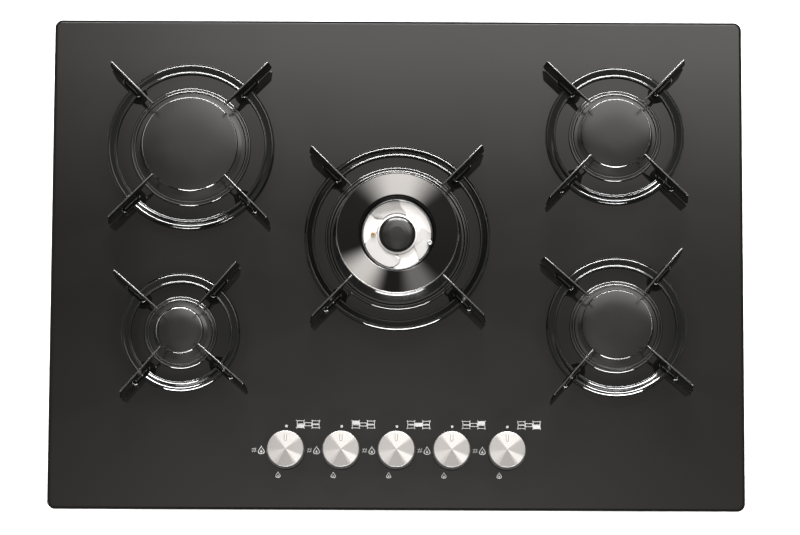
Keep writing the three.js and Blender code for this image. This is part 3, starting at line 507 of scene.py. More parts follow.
# The rest: two colours, metallic, roughness range, scales of grain and patches, depth in mm.
GRAINED = {
    "swirl_aluminium": ((0.74, 0.73, 0.72), (0.66, 0.65, 0.64), 0.85, (0.3, 0.45), (900, 60), 0.02),
    # Petal tops: the same aluminium painted darker than the floor, a painted shade; they are also a little
    # rougher.
    "petal_aluminium_painted_shade": ((0.45, 0.445, 0.44), (0.38, 0.37, 0.365), 0.85, (0.42, 0.55), (900, 60), 0.02),
    # Near-black aluminium: painted shade on petal sides and on the crown teeth under the ring cap.
    "painted_shade_aluminium": ((0.035, 0.033, 0.031), (0.025, 0.024, 0.023), 0.6, (0.5, 0.6), (900, 60), 0.02),
    "rim_aluminium": ((0.26, 0.255, 0.25), (0.2, 0.195, 0.19), 0.9, (0.35, 0.5), (900, 60), 0.02),
    "cast_aluminium": ((0.55, 0.55, 0.55), (0.42, 0.42, 0.42), 0.9, (0.4, 0.6), (1200, 60), 0.05),
    "machined_brass": ((0.62, 0.43, 0.16), (0.5, 0.35, 0.13), 1.0, (0.25, 0.4), (1500, 80), 0.01),
    "plated_steel": ((0.6, 0.61, 0.62), (0.5, 0.51, 0.53), 1.0, (0.25, 0.4), (1500, 60), 0.01),
    "galvanised_sheet": ((0.33, 0.335, 0.34), (0.22, 0.225, 0.235), 0.9, (0.35, 0.6), (500, 70), 0.01),
    "closed_cell_foam": ((0.02, 0.02, 0.02), (0.04, 0.04, 0.04), 0.0, (0.85, 0.95), (1800, 90), 0.2),
    "pad_rubber": ((0.015, 0.015, 0.015), (0.03, 0.03, 0.03), 0.0, (0.6, 0.8), (1500, 90), 0.05),
    "glazed_ceramic": ((0.82, 0.78, 0.7), (0.7, 0.64, 0.52), 0.0, (0.2, 0.35), (900, 120), 0.01),
    "stained_ceramic": ((0.42, 0.33, 0.2), (0.25, 0.17, 0.09), 0.0, (0.3, 0.45), (900, 300), 0.01),
    "spark_wire": ((0.32, 0.25, 0.17), (0.2, 0.15, 0.1), 1.0, (0.35, 0.5), (1500, 200), 0.01),
    # Dark outline of the knob's engraved pointer groove: painted shade in the groove.
    "knob_mark": ((0.13, 0.125, 0.12), (0.10, 0.10, 0.10), 0.0, (0.5, 0.6), (1500, 60), 0.01),
    "moulded_plastic": ((0.02, 0.021, 0.024), (0.03, 0.031, 0.034), 0.0, (0.45, 0.6), (1400, 60), 0.03),
    "fired_ink": ((0.34, 0.34, 0.33), (0.29, 0.29, 0.28), 0.0, (0.45, 0.6), (2500, 200), 0.005),
    "pale_fired_ink": ((0.37, 0.37, 0.36), (0.33, 0.33, 0.32), 0.0, (0.45, 0.6), (2500, 200), 0.005),
}
FINISHES = {
    "polished_black_glass": glass_finish(),
    # Ring cap and knob faces: bright and dark fans painted into the colour, as painted highlights and
    # painted shade.
    "ring_cap_painted_fans": painted_light_sector_finish("ring_cap_painted_fans", RING_CAP_PLAIN, RING_CAP_PAINTED_LIGHT_FANS, 0.28, 0.36, 3200),
    "knob_face": painted_light_sector_finish("knob_face", KNOB_PLAIN, KNOB_PAINTED_LIGHT_FANS, 0.2, 0.26, 2200),
    **{name: enamel_finish(name, *values) for name, values in ENAMELS.items()},
    **{name: spun_finish(name, *values) for name, values in SPUN.items()},
    **{name: grained(name, *values) for name, values in GRAINED.items()},
}


# ------------------------------------------------------------------ shape helpers

def filleted(points, radii, steps=5):
    """Rounds the corners of an outline. radii gives each corner's radius, 0 for none."""
    count = len(points)
    rounded = []
    for i, (point, radius) in enumerate(zip(points, radii)):
        here = Vector(point)
        if radius <= 0:
            rounded.append(here)
            continue
        before = Vector(points[i - 1]) - here
        after = Vector(points[(i + 1) % count]) - here
        half = before.angle(after) / 2
        reach = min(radius / math.tan(half), before.length * 0.48, after.length * 0.48)
        radius = reach * math.tan(half)
        middle = here + (before.normalized() + after.normalized()).normalized() * (radius / math.sin(half))
        start = here + before.normalized() * reach - middle
        turn = start.angle_signed(here + after.normalized() * reach - middle)
        for step in range(steps + 1):
            spin = Matrix.Rotation(-turn * step / steps, 2)
            rounded.append(middle + spin @ start)
    return rounded


def add_vert(mesh, radius, angle, height):
    """A vertex at a radius and an angle in radians about Z, and a height."""
    return mesh.verts.new((radius * MM * math.cos(angle), radius * MM * math.sin(angle), height * MM))


def add_turned(mesh, profile, segments, closed):
    """Turns a profile of (radius, height) points about Z into an open bmesh."""
    rings = []
    for radius, height in profile:
        if radius < 1e-6:
            rings.append([mesh.verts.new((0, 0, height * MM))])
            continue
        angles = [2 * math.pi * step / segments for step in range(segments)]
        rings.append([add_vert(mesh, radius, angle, height) for angle in angles])
    pairs = list(zip(rings, rings[1:]))
    if closed:
        pairs.append((rings[-1], rings[0]))
    for low, high in pairs:
        for step in range(segments):
            after = (step + 1) % segments
            if len(low) == 1 and len(high) == 1:
                break
            if len(low) == 1:
                mesh.faces.new((low[0], high[step], high[after]))
            elif len(high) == 1:
                mesh.faces.new((low[step], low[after], high[0]))
            else:
                mesh.faces.new((low[step], low[after], high[after], high[step]))


def round_edges(mesh, faces, edges, size, segments):
    """Bevels some edges of a new block and returns all the vertices of the block."""
    result = bmesh.ops.bevel(
        mesh, geom=edges, offset=size * MM, segments=segments, profile=0.5, affect="EDGES",
        clamp_overlap=True,
    )
    return list({v for v in result["verts"]} | {v for f in faces if f.is_valid for v in f.verts})


def add_plate(mesh, outline, low, high, edge, matrix=None, segments=3):
    """A flat plate with rounded rims: its outline lies in XY, its faces at low and high."""
    bottom = [mesh.verts.new((x * MM, y * MM, low * MM)) for x, y in outline]
    top = [mesh.verts.new((x * MM, y * MM, high * MM)) for x, y in outline]
    count = len(outline)
    faces = [mesh.faces.new(bottom[::-1]), mesh.faces.new(top)]
    rims = list(faces[0].edges) + list(faces[1].edges)
    for i in range(count):
        after = (i + 1) % count
        faces.append(mesh.faces.new((bottom[i], bottom[after], top[after], top[i])))
    made = round_edges(mesh, faces, rims, edge, segments)
    if matrix is not None:
        bmesh.ops.transform(mesh, matrix=matrix, verts=made)


def add_loft(mesh, sections, edge, matrix):
    """A block between two rectangles given as (z, inner, outer, half), rims rounded."""
    corners = []
    for height, inner, outer, half in sections:
        corners.append([
            mesh.verts.new((x * MM, y * MM, height * MM))
            for x, y in ((inner, -half), (outer, -half), (outer, half), (inner, half))
        ])
    faces = [mesh.faces.new(corners[0][::-1]), mesh.faces.new(corners[-1])]
    for low, high in zip(corners, corners[1:]):
        for i in range(4):
            after = (i + 1) % 4
            faces.append(mesh.faces.new((low[i], low[after], high[after], high[i])))
    edges = list({e for f in faces for e in f.edges})
    bmesh.ops.transform(mesh, matrix=matrix, verts=round_edges(mesh, faces, edges, edge, 3))


def add_bar(mesh, radius, low, high, segments, round_top=0):
    """A round bar with a rounded upper rim."""
    profile = [(0, low), (radius, low), (radius, high), (0, high)]
    add_turned(mesh, filleted(profile, [0, 0, round_top, 0], 4), segments, False)


def add_sector(mesh, inner, outer, start, end, low, high, steps=2):
    """A tooth of a ring: a block between two radii, two angles in radians and two heights."""
    grid = []
    for step in range(steps + 1):
        angle = start + (end - start) * step / steps
        section = ((inner, low), (outer, low), (outer, high), (inner, high))
        grid.append([add_vert(mesh, radius, angle, height) for radius, height in section])
    mesh.faces.new(grid[0])
    mesh.faces.new(grid[-1][::-1])
    for left, right in zip(grid, grid[1:]):
        for i in range(4):
            after = (i + 1) % 4
            mesh.faces.new((left[i], right[i], right[after], left[after]))


def paint(mesh, slot, chosen):
    """Gives a material slot to the faces that a test of middle and normal chooses."""
    mesh.normal_update()
    for face in mesh.faces:
        if chosen(face.calc_center_median() / MM, face.normal):
            face.material_index = slot


def turned(degrees):
    return Matrix.Rotation(math.radians(degrees), 4, "Z")


def radius_of(place):
    return math.hypot(place.x, place.y)


def finished(mesh, name, place, finish, body, replaced=(), angle=32, outward=True):
    """Turns a bmesh into a piece that rides on a body, at a place in millimetres."""
    if outward:
        bmesh.ops.recalc_face_normals(mesh, faces=mesh.faces)
    data = bpy.data.meshes.new(name)
    mesh.to_mesh(data)
    mesh.free()
    data.shade_smooth()
    data.set_sharp_from_angle(angle=math.radians(angle))
    for item in finish if isinstance(finish, (list, tuple)) else [finish]:
        data.materials.append(FINISHES[item])
    piece = bpy.data.objects.new(name, data)
    piece.location = Vector(place) * MM
    bpy.context.scene.collection.objects.link(piece)
    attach(piece, body)
    if replaced:
        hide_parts(*replaced)


# ------------------------------------------------------------------ glass and signs

def rounded_rectangle(width, depth, radius, steps=14):
    outline = []
    for side_x, side_y, start in ((1, 1, 0), (-1, 1, 90), (-1, -1, 180), (1, -1, 270)):
        for step in range(steps + 1):
            angle = math.radians(start + 90 * step / steps)
            outline.append((
                side_x * (width / 2 - radius) + radius * math.cos(angle),
                side_y * (depth / 2 - radius) + radius * math.sin(angle),
            ))
    return outline


def circle(radius, x, y, segments):
    angles = [2 * math.pi * i / segments for i in range(segments)]
    return [(x + radius * math.cos(angle), y + radius * math.sin(angle)) for angle in angles]


GLASS_CORNER = 8
WOK_HOLE = 57
SPINDLE_HOLE = 6.5


def glass_plate():
    """The glass panel with its polished bevel, ground lower edge and drilled holes."""
    low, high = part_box("glass_top")
    width, depth = (high.x - low.x) / MM, (high.y - low.y) / MM
    rim = filleted(
        [
            (0.8, GLASS_UNDERSIDE), (0, GLASS_UNDERSIDE + 0.8), (0, GLASS_TOP - 1.4),
            (2.6, GLASS_TOP), (4, GLASS_TOP),
        ],
        [0, 0.3, 0.5, 0.6, 0],
        3,
    )
    mesh = bmesh.new()
    loops = []
    for inset, height in rim:
        outline = rounded_rectangle(width - 2 * inset, depth - 2 * inset, GLASS_CORNER - inset)
        loops.append([mesh.verts.new((x * MM, y * MM, height * MM)) for x, y in outline])
    for lower, upper in zip(loops, loops[1:]):
        for i in range(len(lower)):
            after = (i + 1) % len(lower)
            mesh.faces.new((lower[i], lower[after], upper[after], upper[i]))
    holes = []
    for name, sizes in BURNERS.items():
        holes.append((WOK_HOLE if name == "wok" else sizes["cap"] - 3, *PLACES[name][:2], 64))
    holes += [(SPINDLE_HOLE, *KNOB_PLACES[name][:2], 24) for name in KNOBS]
    bottom_loops, top_loops = [loops[0]], [loops[-1]]
    for radius, x, y, segments in holes:
        outline = circle(radius, x, y, segments)
        lower = [mesh.verts.new((px * MM, py * MM, GLASS_UNDERSIDE * MM)) for px, py in outline]
        upper = [mesh.verts.new((px * MM, py * MM, GLASS_TOP * MM)) for px, py in outline]
        for i in range(segments):
            after = (i + 1) % segments
            mesh.faces.new((lower[i], upper[i], upper[after], lower[after]))
        bottom_loops.append(lower)
        top_loops.append(upper)
    for group in (bottom_loops, top_loops):
        edges = []
        for loop in group:
            for i in range(len(loop)):
                pair = (loop[i], loop[(i + 1) % len(loop)])
                edges.append(mesh.edges.get(pair) or mesh.edges.new(pair))
        bmesh.ops.triangle_fill(mesh, use_beauty=True, edges=edges)
    finished(
        mesh, "glass_plate", (0, 0, 0), "polished_black_glass",
        "cooktop", ["glass_top"], angle=12,
    )


def drop_outline(width, height, x, y, steps=20):
    """A flame: round below, drawn to a point above."""
    outline = []
    for step in range(steps):
        t = 2 * math.pi * step / steps
        across = math.sin(t) * (1 + math.cos(t)) * 0.77
        outline.append((x + across * width / 2, y - math.cos(t) * height / 2))
    return outline


def add_print(mesh, outlines):
    """Flat ink: the first outline filled, with the others left out of it."""
    edges = []
    for outline in outlines:
        verts = [mesh.verts.new((x * MM, y * MM, 0)) for x, y in outline]
        for i in range(len(verts)):
            edges.append(mesh.edges.new((verts[i], verts[(i + 1) % len(verts)])))
    bmesh.ops.triangle_fill(mesh, use_beauty=True, edges=edges, normal=(0, 0, 1))


def box_outline(x, y, width, height):
    left, right = x - width / 2, x + width / 2
    low, high = y - height / 2, y + height / 2
    return [(left, low), (right, low), (right, high), (left, high)]


def stroke(x0, y0, x1, y1, width):
    """A straight stroke of a pen between two points."""
    across = Vector((y0 - y1, x1 - x0)).normalized() * width / 2
    start, stop = Vector((x0, y0)), Vector((x1, y1))
    return [tuple(start - across), tuple(stop - across), tuple(stop + across), tuple(start + across)]


# Places of the printed signs, from the knob's centre: both flames, the spark, the off mark and
# the burner diagram, and in the diagram each burner's box.
LARGE_FLAME_X = -24.6
SMALL_FLAME = (-7.6, -24.6)
SPARK_X = -31.8
OFF_MARK = (0.5, 24.4)
DIAGRAM = (22.3, 26.3)
PRINT_LIFT = 0.04
BOXES = {
    "auxiliary": (-7.6, -1.95),
    "rapid": (-7.6, 1.95),
    "wok": (0, 0),
    "rear_semi_rapid": (7.6, 1.95),
    "front_semi_rapid": (7.6, -1.95),
}


def knob_signs(name):
    """The printed signs round one knob: off mark, flames, spark and burner diagram."""
    above = Vector(KNOB_PLACES[name]) + Vector((0, 0, PRINT_LIFT))
    mesh = bmesh.new()
    add_print(mesh, [drop_outline(6.9, 8.8, LARGE_FLAME_X, 0.4), drop_outline(5.1, 6.5, LARGE_FLAME_X, 0.1)])
    add_print(mesh, [drop_outline(2.3, 3.0, LARGE_FLAME_X, -0.9)])
    for side in (-1.15, 1.15):
        add_print(mesh, [stroke(SPARK_X + side - 0.7, -2.0, SPARK_X + side + 0.7, 2.2, 0.45)])
        add_print(mesh, [stroke(SPARK_X - 2.4, 0.1 + side, SPARK_X + 2.4, 0.1 + side, 0.4)])
    flame_x, flame_y = SMALL_FLAME
    outer = drop_outline(5.2, 6.5, flame_x, flame_y)
    add_print(mesh, [outer, drop_outline(3.7, 4.7, flame_x, flame_y - 0.2)])
    add_print(mesh, [drop_outline(1.6, 2.1, flame_x, flame_y - 1.0)])
    middle_x, middle_y = DIAGRAM
    for burner, (box_x, box_y) in BOXES.items():
        outlines = [box_outline(middle_x + box_x, middle_y + box_y, 7.5, 3.7)]
        if burner != name:
            outlines.append(box_outline(middle_x + box_x, middle_y + box_y, 6.3, 2.5))
        add_print(mesh, outlines)
    for side in (-1, 1):
        for box_x in (side * 3.85, side * 11.35):
            for box_y in (-4.0, 4.0):
                add_print(mesh, [box_outline(middle_x + box_x, middle_y + box_y, 0.7, 0.9)])
        for box_y in (-3.5, 3.5):
            add_print(mesh, [box_outline(middle_x + side * 11.7, middle_y + box_y, 0.8, 0.7)])
    finished(mesh, f"{name}_signs", above, "fired_ink", "cooktop", outward=False)
    mark = bmesh.new()
    add_print(mark, [circle(1.35, *OFF_MARK, 24)])
    finished(mark, f"{name}_off_mark", above, "pale_fired_ink", "cooktop", outward=False)


# ------------------------------------------------------------------ burners

def trim_ring(name, outer, inner, rise):
    """The trim dish: two fine beads at its outer edge, then a slope up to the burner cup."""
    profile = filleted(
        [
            (outer, 0.3), (outer, 1.9), (outer - 1.3, 3.1), (outer - 2.6, 1.6), (outer - 4, 2.8),
            (outer - 5.6, 1.9), (outer - 0.35 * (outer - inner) - 3, 2.3), (inner, rise),
            (inner, rise - 1.2), (outer - 5.5, 0.6),
        ],
        [0.3, 0.9, 1.0, 0.3, 1.0, 0.8, 4, 0.4, 0.3, 0.4],
        5,
    )
    mesh = bmesh.new()
    add_turned(mesh, profile, 128, True)
    paint(mesh, 1, lambda middle, normal: radius_of(middle) > outer - 5)
    finished(
        mesh, f"{name}_trim", PLACES[name], ["trim_enamel", "edge_enamel"],
        "cooktop", [f"{name}_trim_ring"],
    )


def plain_cap(name, radius):
    """A smooth domed cap with a rounded, glossier rim."""
    seat = CROWN_TOP + SEAT_GAP
    shares = (0.92, 0.85, 0.76, 0.66, 0.54, 0.4, 0.2)
    dome = [(share * radius, seat + 5.5 - 1.9 * share ** 3.6) for share in shares]
    profile = filleted(
        [
            (0, seat), (radius - 1, seat), (radius, seat + 0.9), (radius, seat + 2.8),
            (radius - 1.0, seat + 3.75), *dome, (0, seat + 5.5),
        ],
        [0, 0.3, 0.5, 0.8, 0.9, *([0] * len(dome)), 0],
        5,
    )
    mesh = bmesh.new()
    add_turned(mesh, profile, 128, False)
    paint(mesh, 1, lambda middle, normal: radius_of(middle) > radius - 1.6)
    finished(
        mesh, f"{name}_enamel_cap", PLACES[name], ["cap_enamel", "edge_enamel"],
        f"{name}_cap", [f"{name}_cap"],
    )


PORT_DEPTH = 3.2
TOOTH_SHARE = 0.72


def add_teeth(mesh, count, inner, outer, top):
    """A crown's ring of teeth; the gaps between them are the flame ports."""
    pitch = 2 * math.pi / count
    for port in range(count):
        start = port * pitch
        add_sector(mesh, inner, outer, start, start + pitch * TOOTH_SHARE, top - PORT_DEPTH - 0.4, top)


def plain_crown(name, cap):
    """The burner crown: a cast ring with a castellated rim that makes the flame ports."""
    crown = cap - 4
    inner = crown - 6
    spigot = cap - 10
    slot_floor = CROWN_TOP - PORT_DEPTH
    mesh = bmesh.new()
    profile = filleted(
        [
            (spigot - 2.4, 1.5), (spigot, 1.5), (spigot, CUP_RIM + 0.3), (crown, CUP_RIM + 0.3),
            (crown, slot_floor), (inner, slot_floor),
        ],
        [0, 0.3, 0, 0.6, 0, 0],
        3,
    )
    add_turned(mesh, profile, 96, True)
    add_teeth(mesh, round(crown * 0.85), inner, crown, CROWN_TOP)
    finished(
        mesh, f"{name}_cast_crown", PLACES[name], "cast_aluminium",
        f"{name}_crown", [f"{name}_crown"],
    )


# The two edges of each raised petal, as (radius, angle in degrees) pairs from the rim inwards.
PETALS = [
    (
        [(34, 87), (32, 86), (27.3, 81), (24.2, 69.5), (20.4, 63.5)],
        [(34, 142), (31.6, 142), (26.5, 142), (21.8, 132)],
    ),
    (
        [(34, 3), (32.5, 3.5), (29.5, 9), (26.3, 15), (22.4, 15), (19.6, 6)],
        [(34, -50), (28.9, -45), (24.6, -39), (20, -36)],
    ),
    (
        [(34, 262.3), (29.9, 270.7), (26.3, 276.8), (23.1, 275.6)],
        [(34, 196), (27.4, 187.6), (20.4, 172.6)],
    ),
]


def polar(radius, angle):
    """The XY place at a radius and an angle in degrees."""
    return (radius * math.cos(math.radians(angle)), radius * math.sin(math.radians(angle)))


def smooth_edge(points, steps=5):
    """A smooth line through (radius, angle) points, as XY places."""
    places = [Vector(polar(radius, angle)) for radius, angle in points]
    ends = [places[0] * 2 - places[1], *places, places[-1] * 2 - places[-2]]
    line = [tuple(places[0])]
    for before, start, stop, after in zip(ends, ends[1:], ends[2:], ends[3:]):
        for step in range(1, steps + 1):
            t = step / steps
            line.append(tuple(
                start
                + (stop - before) * t / 2
                + (before * 2 - start * 5 + stop * 4 - after) * t ** 2 / 2
                + (start * 3 - before - stop * 3 + after) * t ** 3 / 2
            ))
    return line


def arc(radius, start, stop, steps=16):
    """Places between two angles in degrees, both left out."""
    return [polar(radius, start + (stop - start) * i / steps) for i in range(1, steps)]


def wok_swirl():
    """Three raised petals with S-shaped edges on the aluminium burner body; their tops are painted darker
    than the floor and their sides near-black, both as painted shade.
    """
    mesh = bmesh.new()
    for leading, trailing in PETALS:
        outline = smooth_edge(leading[::-1])
        outline += arc(leading[0][0], leading[0][1], trailing[0][1])
        outline += smooth_edge(trailing)
        outline += arc(trailing[-1][0], trailing[-1][1], leading[-1][1])
        add_plate(mesh, outline, WOK_SWIRL_FLOOR - 0.5, WOK_SWIRL_FLOOR + 1.5, 0.6, segments=2)
    # The petal sides are near-black, a painted shade along the raised edges.
    paint(mesh, 1, lambda middle, normal: abs(normal.z) < 0.98)
    finished(
        mesh, "wok_petals", PLACES["wok"], ["petal_aluminium_painted_shade", "painted_shade_aluminium"], "wok_crown",
        angle=30, outward=False,
    )


def wok_crown():
    """The swirl burner: a bright floor, a sloped rim painted black as painted shade, and a ring of teeth
    round it painted near-black as painted shade.
    """
    outer, inner = 57, 51
    slot_floor = WOK_CROWN_TOP - PORT_DEPTH
    profile = filleted(
        [
            (0, WOK_SWIRL_FLOOR - 5), (WOK_CAP_HOLE + 4, WOK_SWIRL_FLOOR - 5), (49.5, 7),
            (49.5, WOK_CUP_RIM + 0.3), (outer, WOK_CUP_RIM + 0.3), (outer, slot_floor),
            (inner, slot_floor), (WOK_CAP_HOLE + 3, slot_floor), (35.6, WOK_SWIRL_FLOOR + 1.4),
            (34, WOK_SWIRL_FLOOR - 0.1), (20.5, WOK_SWIRL_FLOOR - 0.1),
            (20.1, WOK_SWIRL_FLOOR + 1.2), (17.6, WOK_SWIRL_FLOOR + 1.2), (17.2, WOK_CENTRE_SEAT),
            (0, WOK_CENTRE_SEAT),
        ],
        [0, 2, 0.5, 0, 0.8, 0, 0, 0.6, 0, 0.3, 0.4, 0.4, 0.4, 0.3, 0],
        3,
    )
    mesh = bmesh.new()
    add_turned(mesh, profile, 128, False)
    paint(mesh, 1, lambda middle, normal: 34 < radius_of(middle) < 35.6 and middle.z > WOK_SWIRL_FLOOR - 1)
    # The sloped rim in the hollow under the ring cap: black enamel on the aluminium, as painted shade.
    paint(mesh, 2, lambda middle, normal: radius_of(middle) > 35.6 and middle.z > WOK_SWIRL_FLOOR - 1)
    add_teeth(mesh, 44, inner, outer, WOK_CROWN_TOP)
    # Teeth and body outside the swirl: near-black, painted shade under the ring cap.
    paint(mesh, 3, lambda middle, normal: radius_of(middle) > 48)
    finished(
        mesh, "wok_cast_crown", PLACES["wok"],
        ["swirl_aluminium", "rim_aluminium", "painted_shade_enamel", "painted_shade_aluminium"],
        "wok_crown", ["wok_crown"],
    )


def wok_caps():
    """The wide spun ring cap and the small enamelled cap in its middle."""
    seat = WOK_CROWN_TOP + SEAT_GAP
    cap = BURNERS["wok"]["cap"]
    profile = filleted(
        [
            (WOK_CAP_HOLE, seat), (cap - 1, seat), (cap, seat + 1), (cap, seat + 3.4),
            (cap - 0.7, seat + 4.1), (cap - 1.7, seat + 3.7), (WOK_CAP_HOLE + 1.6, seat + 4.9),
            (WOK_CAP_HOLE, seat + 4.2),
        ],
        [0.4, 0.4, 0.5, 0.5, 0.5, 0.5, 0.8, 0.5],
        4,
    )
    mesh = bmesh.new()
    add_turned(mesh, profile, 160, True)
    paint(mesh, 1, lambda middle, normal: radius_of(middle) > cap - 1.5)
    # The hole's inner wall and steep faces: black enamel on the spun metal, as painted shade.
    paint(mesh, 2, lambda middle, normal: radius_of(middle) < WOK_CAP_HOLE + 1.2 or abs(normal.z) < 0.35)
    # The ring cap's bright and dark fans are painted highlights and painted shade in its colour.
    finished(
        mesh, "wok_spun_ring_cap", PLACES["wok"], ["ring_cap_painted_fans", "ring_cap_edge", "painted_shade_enamel"],
        "wok_ring_cap", ["wok_ring_cap"],
    )
    seat = WOK_CENTRE_SEAT + SEAT_GAP
    profile = filleted(
        [
            (0, seat), (WOK_CENTRE_CAP - 1, seat), (WOK_CENTRE_CAP, seat + 0.6),
            (WOK_CENTRE_CAP, seat + 1.2), (WOK_CENTRE_CAP * 0.94, seat + 1.9),
            (WOK_CENTRE_CAP * 0.85, seat + 2.75), (WOK_CENTRE_CAP * 0.74, seat + 3.4),
            (WOK_CENTRE_CAP * 0.6, seat + 3.95), (WOK_CENTRE_CAP * 0.4, seat + 4.35),
            (0, seat + 4.5),
        ],
        [0, 0.3, 0.3, 0.4, 2, 4, 4, 4, 4, 0],
        5,
    )
    mesh = bmesh.new()
    add_turned(mesh, profile, 96, False)
    finished(
        mesh, "wok_centre_enamel_cap", PLACES["wok"], "cap_enamel",
        "wok_centre_cap", ["wok_centre_cap"],
    )


THERMOCOUPLE_RADIUS = 34
THERMOCOUPLE_ANGLE = -15
ELECTRODE_RADIUS = 24


def wok_sensors():
    """The thermocouple with its hollow tip, and the spark electrode beside the centre cap."""
    x, y, z = PLACES["wok"]
    probe_x, probe_y = polar(THERMOCOUPLE_RADIUS, THERMOCOUPLE_ANGLE)
    top = WOK_SWIRL_FLOOR + 6
    profile = filleted(
        [
            (0, -12), (2.9, -12), (2.9, -2), (1.7, -2), (1.7, top - 2.2), (2.6, top - 2.2),
            (2.6, top - 0.6), (1.1, top - 0.6), (1.1, top - 1.6), (0, top - 1.6),
        ],
        [0, 0.3, 0.3, 0, 0.2, 0.3, 0.6, 0.4, 0, 0],
        3,
    )
    mesh = bmesh.new()
    add_turned(mesh, profile, 32, False)
    finished(
        mesh, "wok_thermocouple_rod", (x + probe_x, y + probe_y, z), "plated_steel",
        "cooktop", ["wok_thermocouple"],
    )
    ceramic_top = WOK_SWIRL_FLOOR + 3
    mesh = bmesh.new()
    add_bar(mesh, 2.6, -22, ceramic_top, 32, 0.8)
    add_bar(mesh, 0.95, ceramic_top - 1, WOK_SWIRL_FLOOR + 6.9, 20, 0.5)
    add_bar(mesh, 1.3, -26, -21, 16)
    paint(mesh, 1, lambda middle, normal: not -22.5 < middle.z < ceramic_top + 0.01)
    finished(
        mesh, "wok_electrode", (x - ELECTRODE_RADIUS, y, z), ["stained_ceramic", "spark_wire"],
        "cooktop", ["wok_spark_electrode"],
    )


# ------------------------------------------------------------------ pan supports

def fin_outline(tip, reach, ring, height):
    """A fin seen from its side: straight outside, and hollowed inside in one sweep."""
    heel = ring - 12
    inner_curve = []
    start, end = Vector((heel, 6)), Vector((tip + 8, height - 8))
    bend = Vector((heel - 2, height * 0.62))
    for step in range(9):
        t = step / 8
        inner_curve.append(tuple(start * (1 - t) ** 2 + bend * 2 * t * (1 - t) + end * t ** 2))
    corners = [
        (tip, height), (reach, height), (reach + 3, 11), (reach, 6), *inner_curve,
        (tip, height - 5),
    ]
    radii = [1.0, 1.6, 2.5, 1.2, 0.8, *([0] * (len(inner_curve) - 2)), 2.0, 1.2]
    return filleted(corners, radii, 3)


def pan_support(name, sizes):
    """A pressed ring with four upright fins, their flared feet, tabs and rubber pads."""
    ring, reach, height = sizes["ring"], sizes["reach"], sizes["height"]
    tip = sizes["cap"] + 2
    mesh = bmesh.new()
    profile = filleted(
        [
            (ring - 10, 1.5), (ring, 1.5), (ring, 6.1), (ring - 2.4, 7.9), (ring - 3.9, 7.05),
            (ring - 5.4, 6.15), (ring - 6.9, 5.25), (ring - 7.9, 4.7), (ring - 9.1, 5.6),
            (ring - 10, 4.6),
        ],
        [0.4, 0.4, 1.1, 1.2, 0, 0, 0, 0.4, 0.8, 0.5],
        5,
    )
    add_turned(mesh, profile, 160, True)
    for side in range(4):
        spin = turned(sizes["turn"] + 45 + 90 * side)
        stand = spin @ Matrix.Rotation(math.pi / 2, 4, "X")
        add_plate(mesh, fin_outline(tip, reach, ring, height), -0.8, 0.8, 0.6, stand)
        foot = filleted(box_outline(ring - 1, 0, 25, 7.2), [3.5] * 4, 6)
        add_plate(mesh, foot, 4.5, 10.5, 1.3, spin, segments=4)
        add_loft(mesh, [(9, ring - 11, ring + 9, 2.6), (15, ring - 10, ring + 7, 1.4)], 0.5, spin)
        inner = ring - 10
        half_tab = [(inner + 3, 10), (inner - 2, 8.5), (inner - 7.5, 5)]
        tab = [(out, -across) for out, across in half_tab] + [(inner - 8.3, 0)] + half_tab[::-1]
        add_plate(mesh, filleted(tab, [0, 3, 4, 12, 4, 3, 0], 5), 2.6, 4.6, 0.95, spin, segments=4)
    # Fin sides and flat tops get the enamel copy without reflections, as painted shade.
    paint(mesh, 2, lambda middle, normal: abs(normal.z) < 0.15 and middle.z > 8.5)
    paint(mesh, 2, lambda middle, normal: abs(normal.z) > 0.985 and middle.z < 20)
    for side in range(4):
        spin = turned(sizes["turn"] + 90 * side)
        add_plate(mesh, filleted(box_outline(ring - 5, 0, 8, 8), [2] * 4, 4), 0.3, 2.0, 0.3, spin)
    paint(mesh, 1, lambda middle, normal: middle.z < 1.45)
    finished(
        mesh, f"{name}_support", PLACES[name], ["edge_enamel", "pad_rubber", "painted_shade_enamel"],
        f"{name}_pan_support", [f"{name}_pan_support"],
    )


# ------------------------------------------------------------------ knobs

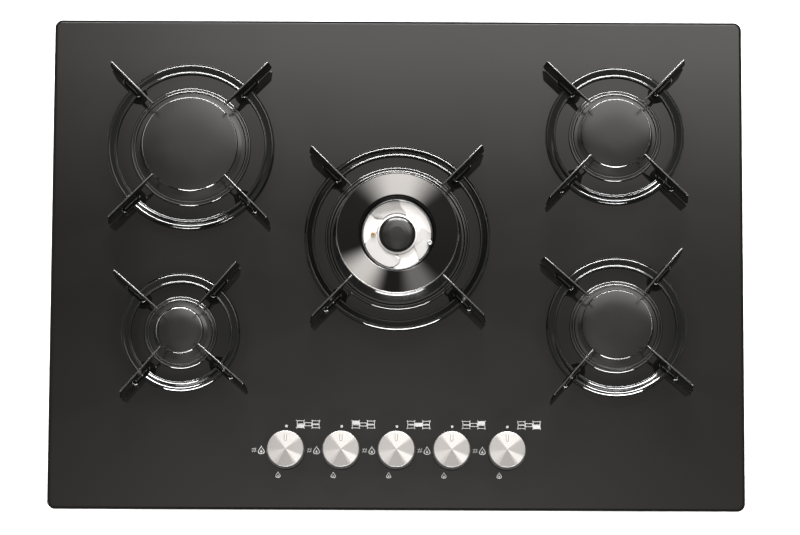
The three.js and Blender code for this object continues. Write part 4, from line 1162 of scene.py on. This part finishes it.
def knob(name):
    """A spun aluminium knob: a shallow dished face, a polished rim and a darker side."""
    place = KNOB_PLACES[name]
    face = filleted(
        [
            (KNOB_RADIUS, KNOB_TOP - 1.0), (KNOB_RADIUS, KNOB_TOP - 0.4),
            (KNOB_RADIUS - 0.6, KNOB_TOP - 0.05), (0, KNOB_TOP - 0.5),
        ],
        [0, 0.2, 0.2, 0],
        3,
    )
    mesh = bmesh.new()
    add_turned(mesh, face, 128, False)
    # The rim gets the darker copy of the metal as painted shade.
    paint(mesh, 1, lambda middle, normal: radius_of(middle) > KNOB_RADIUS - 0.6)
    # The face's bright and dark fans are painted highlights and painted shade in its colour.
    finished(
        mesh, f"{name}_knob_face", place, ["knob_face", "knob_edge_painted_shade"],
        f"{name}_knob", angle=20,
    )
    skirt = filleted(
        [
            (0, KNOB_TOP - 4.5), (4.3, KNOB_TOP - 4.5), (4.3, KNOB_LIFT), (KNOB_FOOT, KNOB_LIFT),
            (KNOB_FOOT, KNOB_LIFT + 0.8), (KNOB_RADIUS, KNOB_TOP - 1.2), (0, KNOB_TOP - 1.25),
        ],
        [0, 0, 0.3, 0.4, 0.4, 0.2, 0],
        3,
    )
    mesh = bmesh.new()
    add_turned(mesh, skirt, 128, False)
    finished(
        mesh, f"{name}_knob_skirt", place, "knob_skirt",
        f"{name}_knob", [f"{name}_knob"], angle=20,
    )
    # The pointer's engraved groove is drawn as a flat dark outline, a painted shade where its walls fall in
    # shade.
    mark = bmesh.new()
    top = KNOB_TOP - 0.12
    outline = filleted(box_outline(0, KNOB_RADIUS - 6.4, 3.0, 8), [1.5] * 4, 6)
    hollow = filleted(box_outline(0, KNOB_RADIUS - 6.4, 1.9, 6.9), [0.95] * 4, 6)
    add_print(mark, [outline, hollow])
    finished(
        mark, f"{name}_knob_mark", Vector(place) + Vector((0, 0, top)), "knob_mark",
        f"{name}_knob", outward=False,
    )


# ------------------------------------------------------------------ plain pieces below

NODE_FINISHES = {
    "bottom_tray": "galvanised_sheet",
    "worktop_seal": "closed_cell_foam",
    "gas_rail": "plated_steel",
    "gas_inlet_elbow": "machined_brass",
    "spark_generator": "moulded_plastic",
    "terminal_block": "moulded_plastic",
}


def dress_hidden_nodes():
    """Gives each CAD node that stays in view its own finish."""
    endings = {
        "_injector_cup": "cast_aluminium",
        "_spark_electrode": "glazed_ceramic",
        "_tap_body": "cast_aluminium",
        "_tap_plug": "machined_brass",
        "_spindle": "plated_steel",
    }
    for name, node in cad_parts.items():
        finish = NODE_FINISHES.get(name)
        for ending, value in endings.items():
            if name.endswith(ending):
                finish = value
        if finish:
            node.data.materials.clear()
            node.data.materials.append(FINISHES[finish])


set_camera()
make_floor()
make_studio()
ceiling_card()
dress_hidden_nodes()
glass_plate()
for knob_name in KNOBS:
    knob(knob_name)
    knob_signs(knob_name)
for burner_name, burner in BURNERS.items():
    pan_support(burner_name, burner)
    if burner_name == "wok":
        trim_ring(burner_name, burner["trim"], 54.6, WOK_CUP_RIM - 1)
        continue
    trim_ring(burner_name, burner["trim"], burner["cap"] - 5.4, CUP_RIM - 1)
    plain_cap(burner_name, burner["cap"])
    plain_crown(burner_name, burner["cap"])
wok_crown()
wok_swirl()
wok_caps()
wok_sensors()
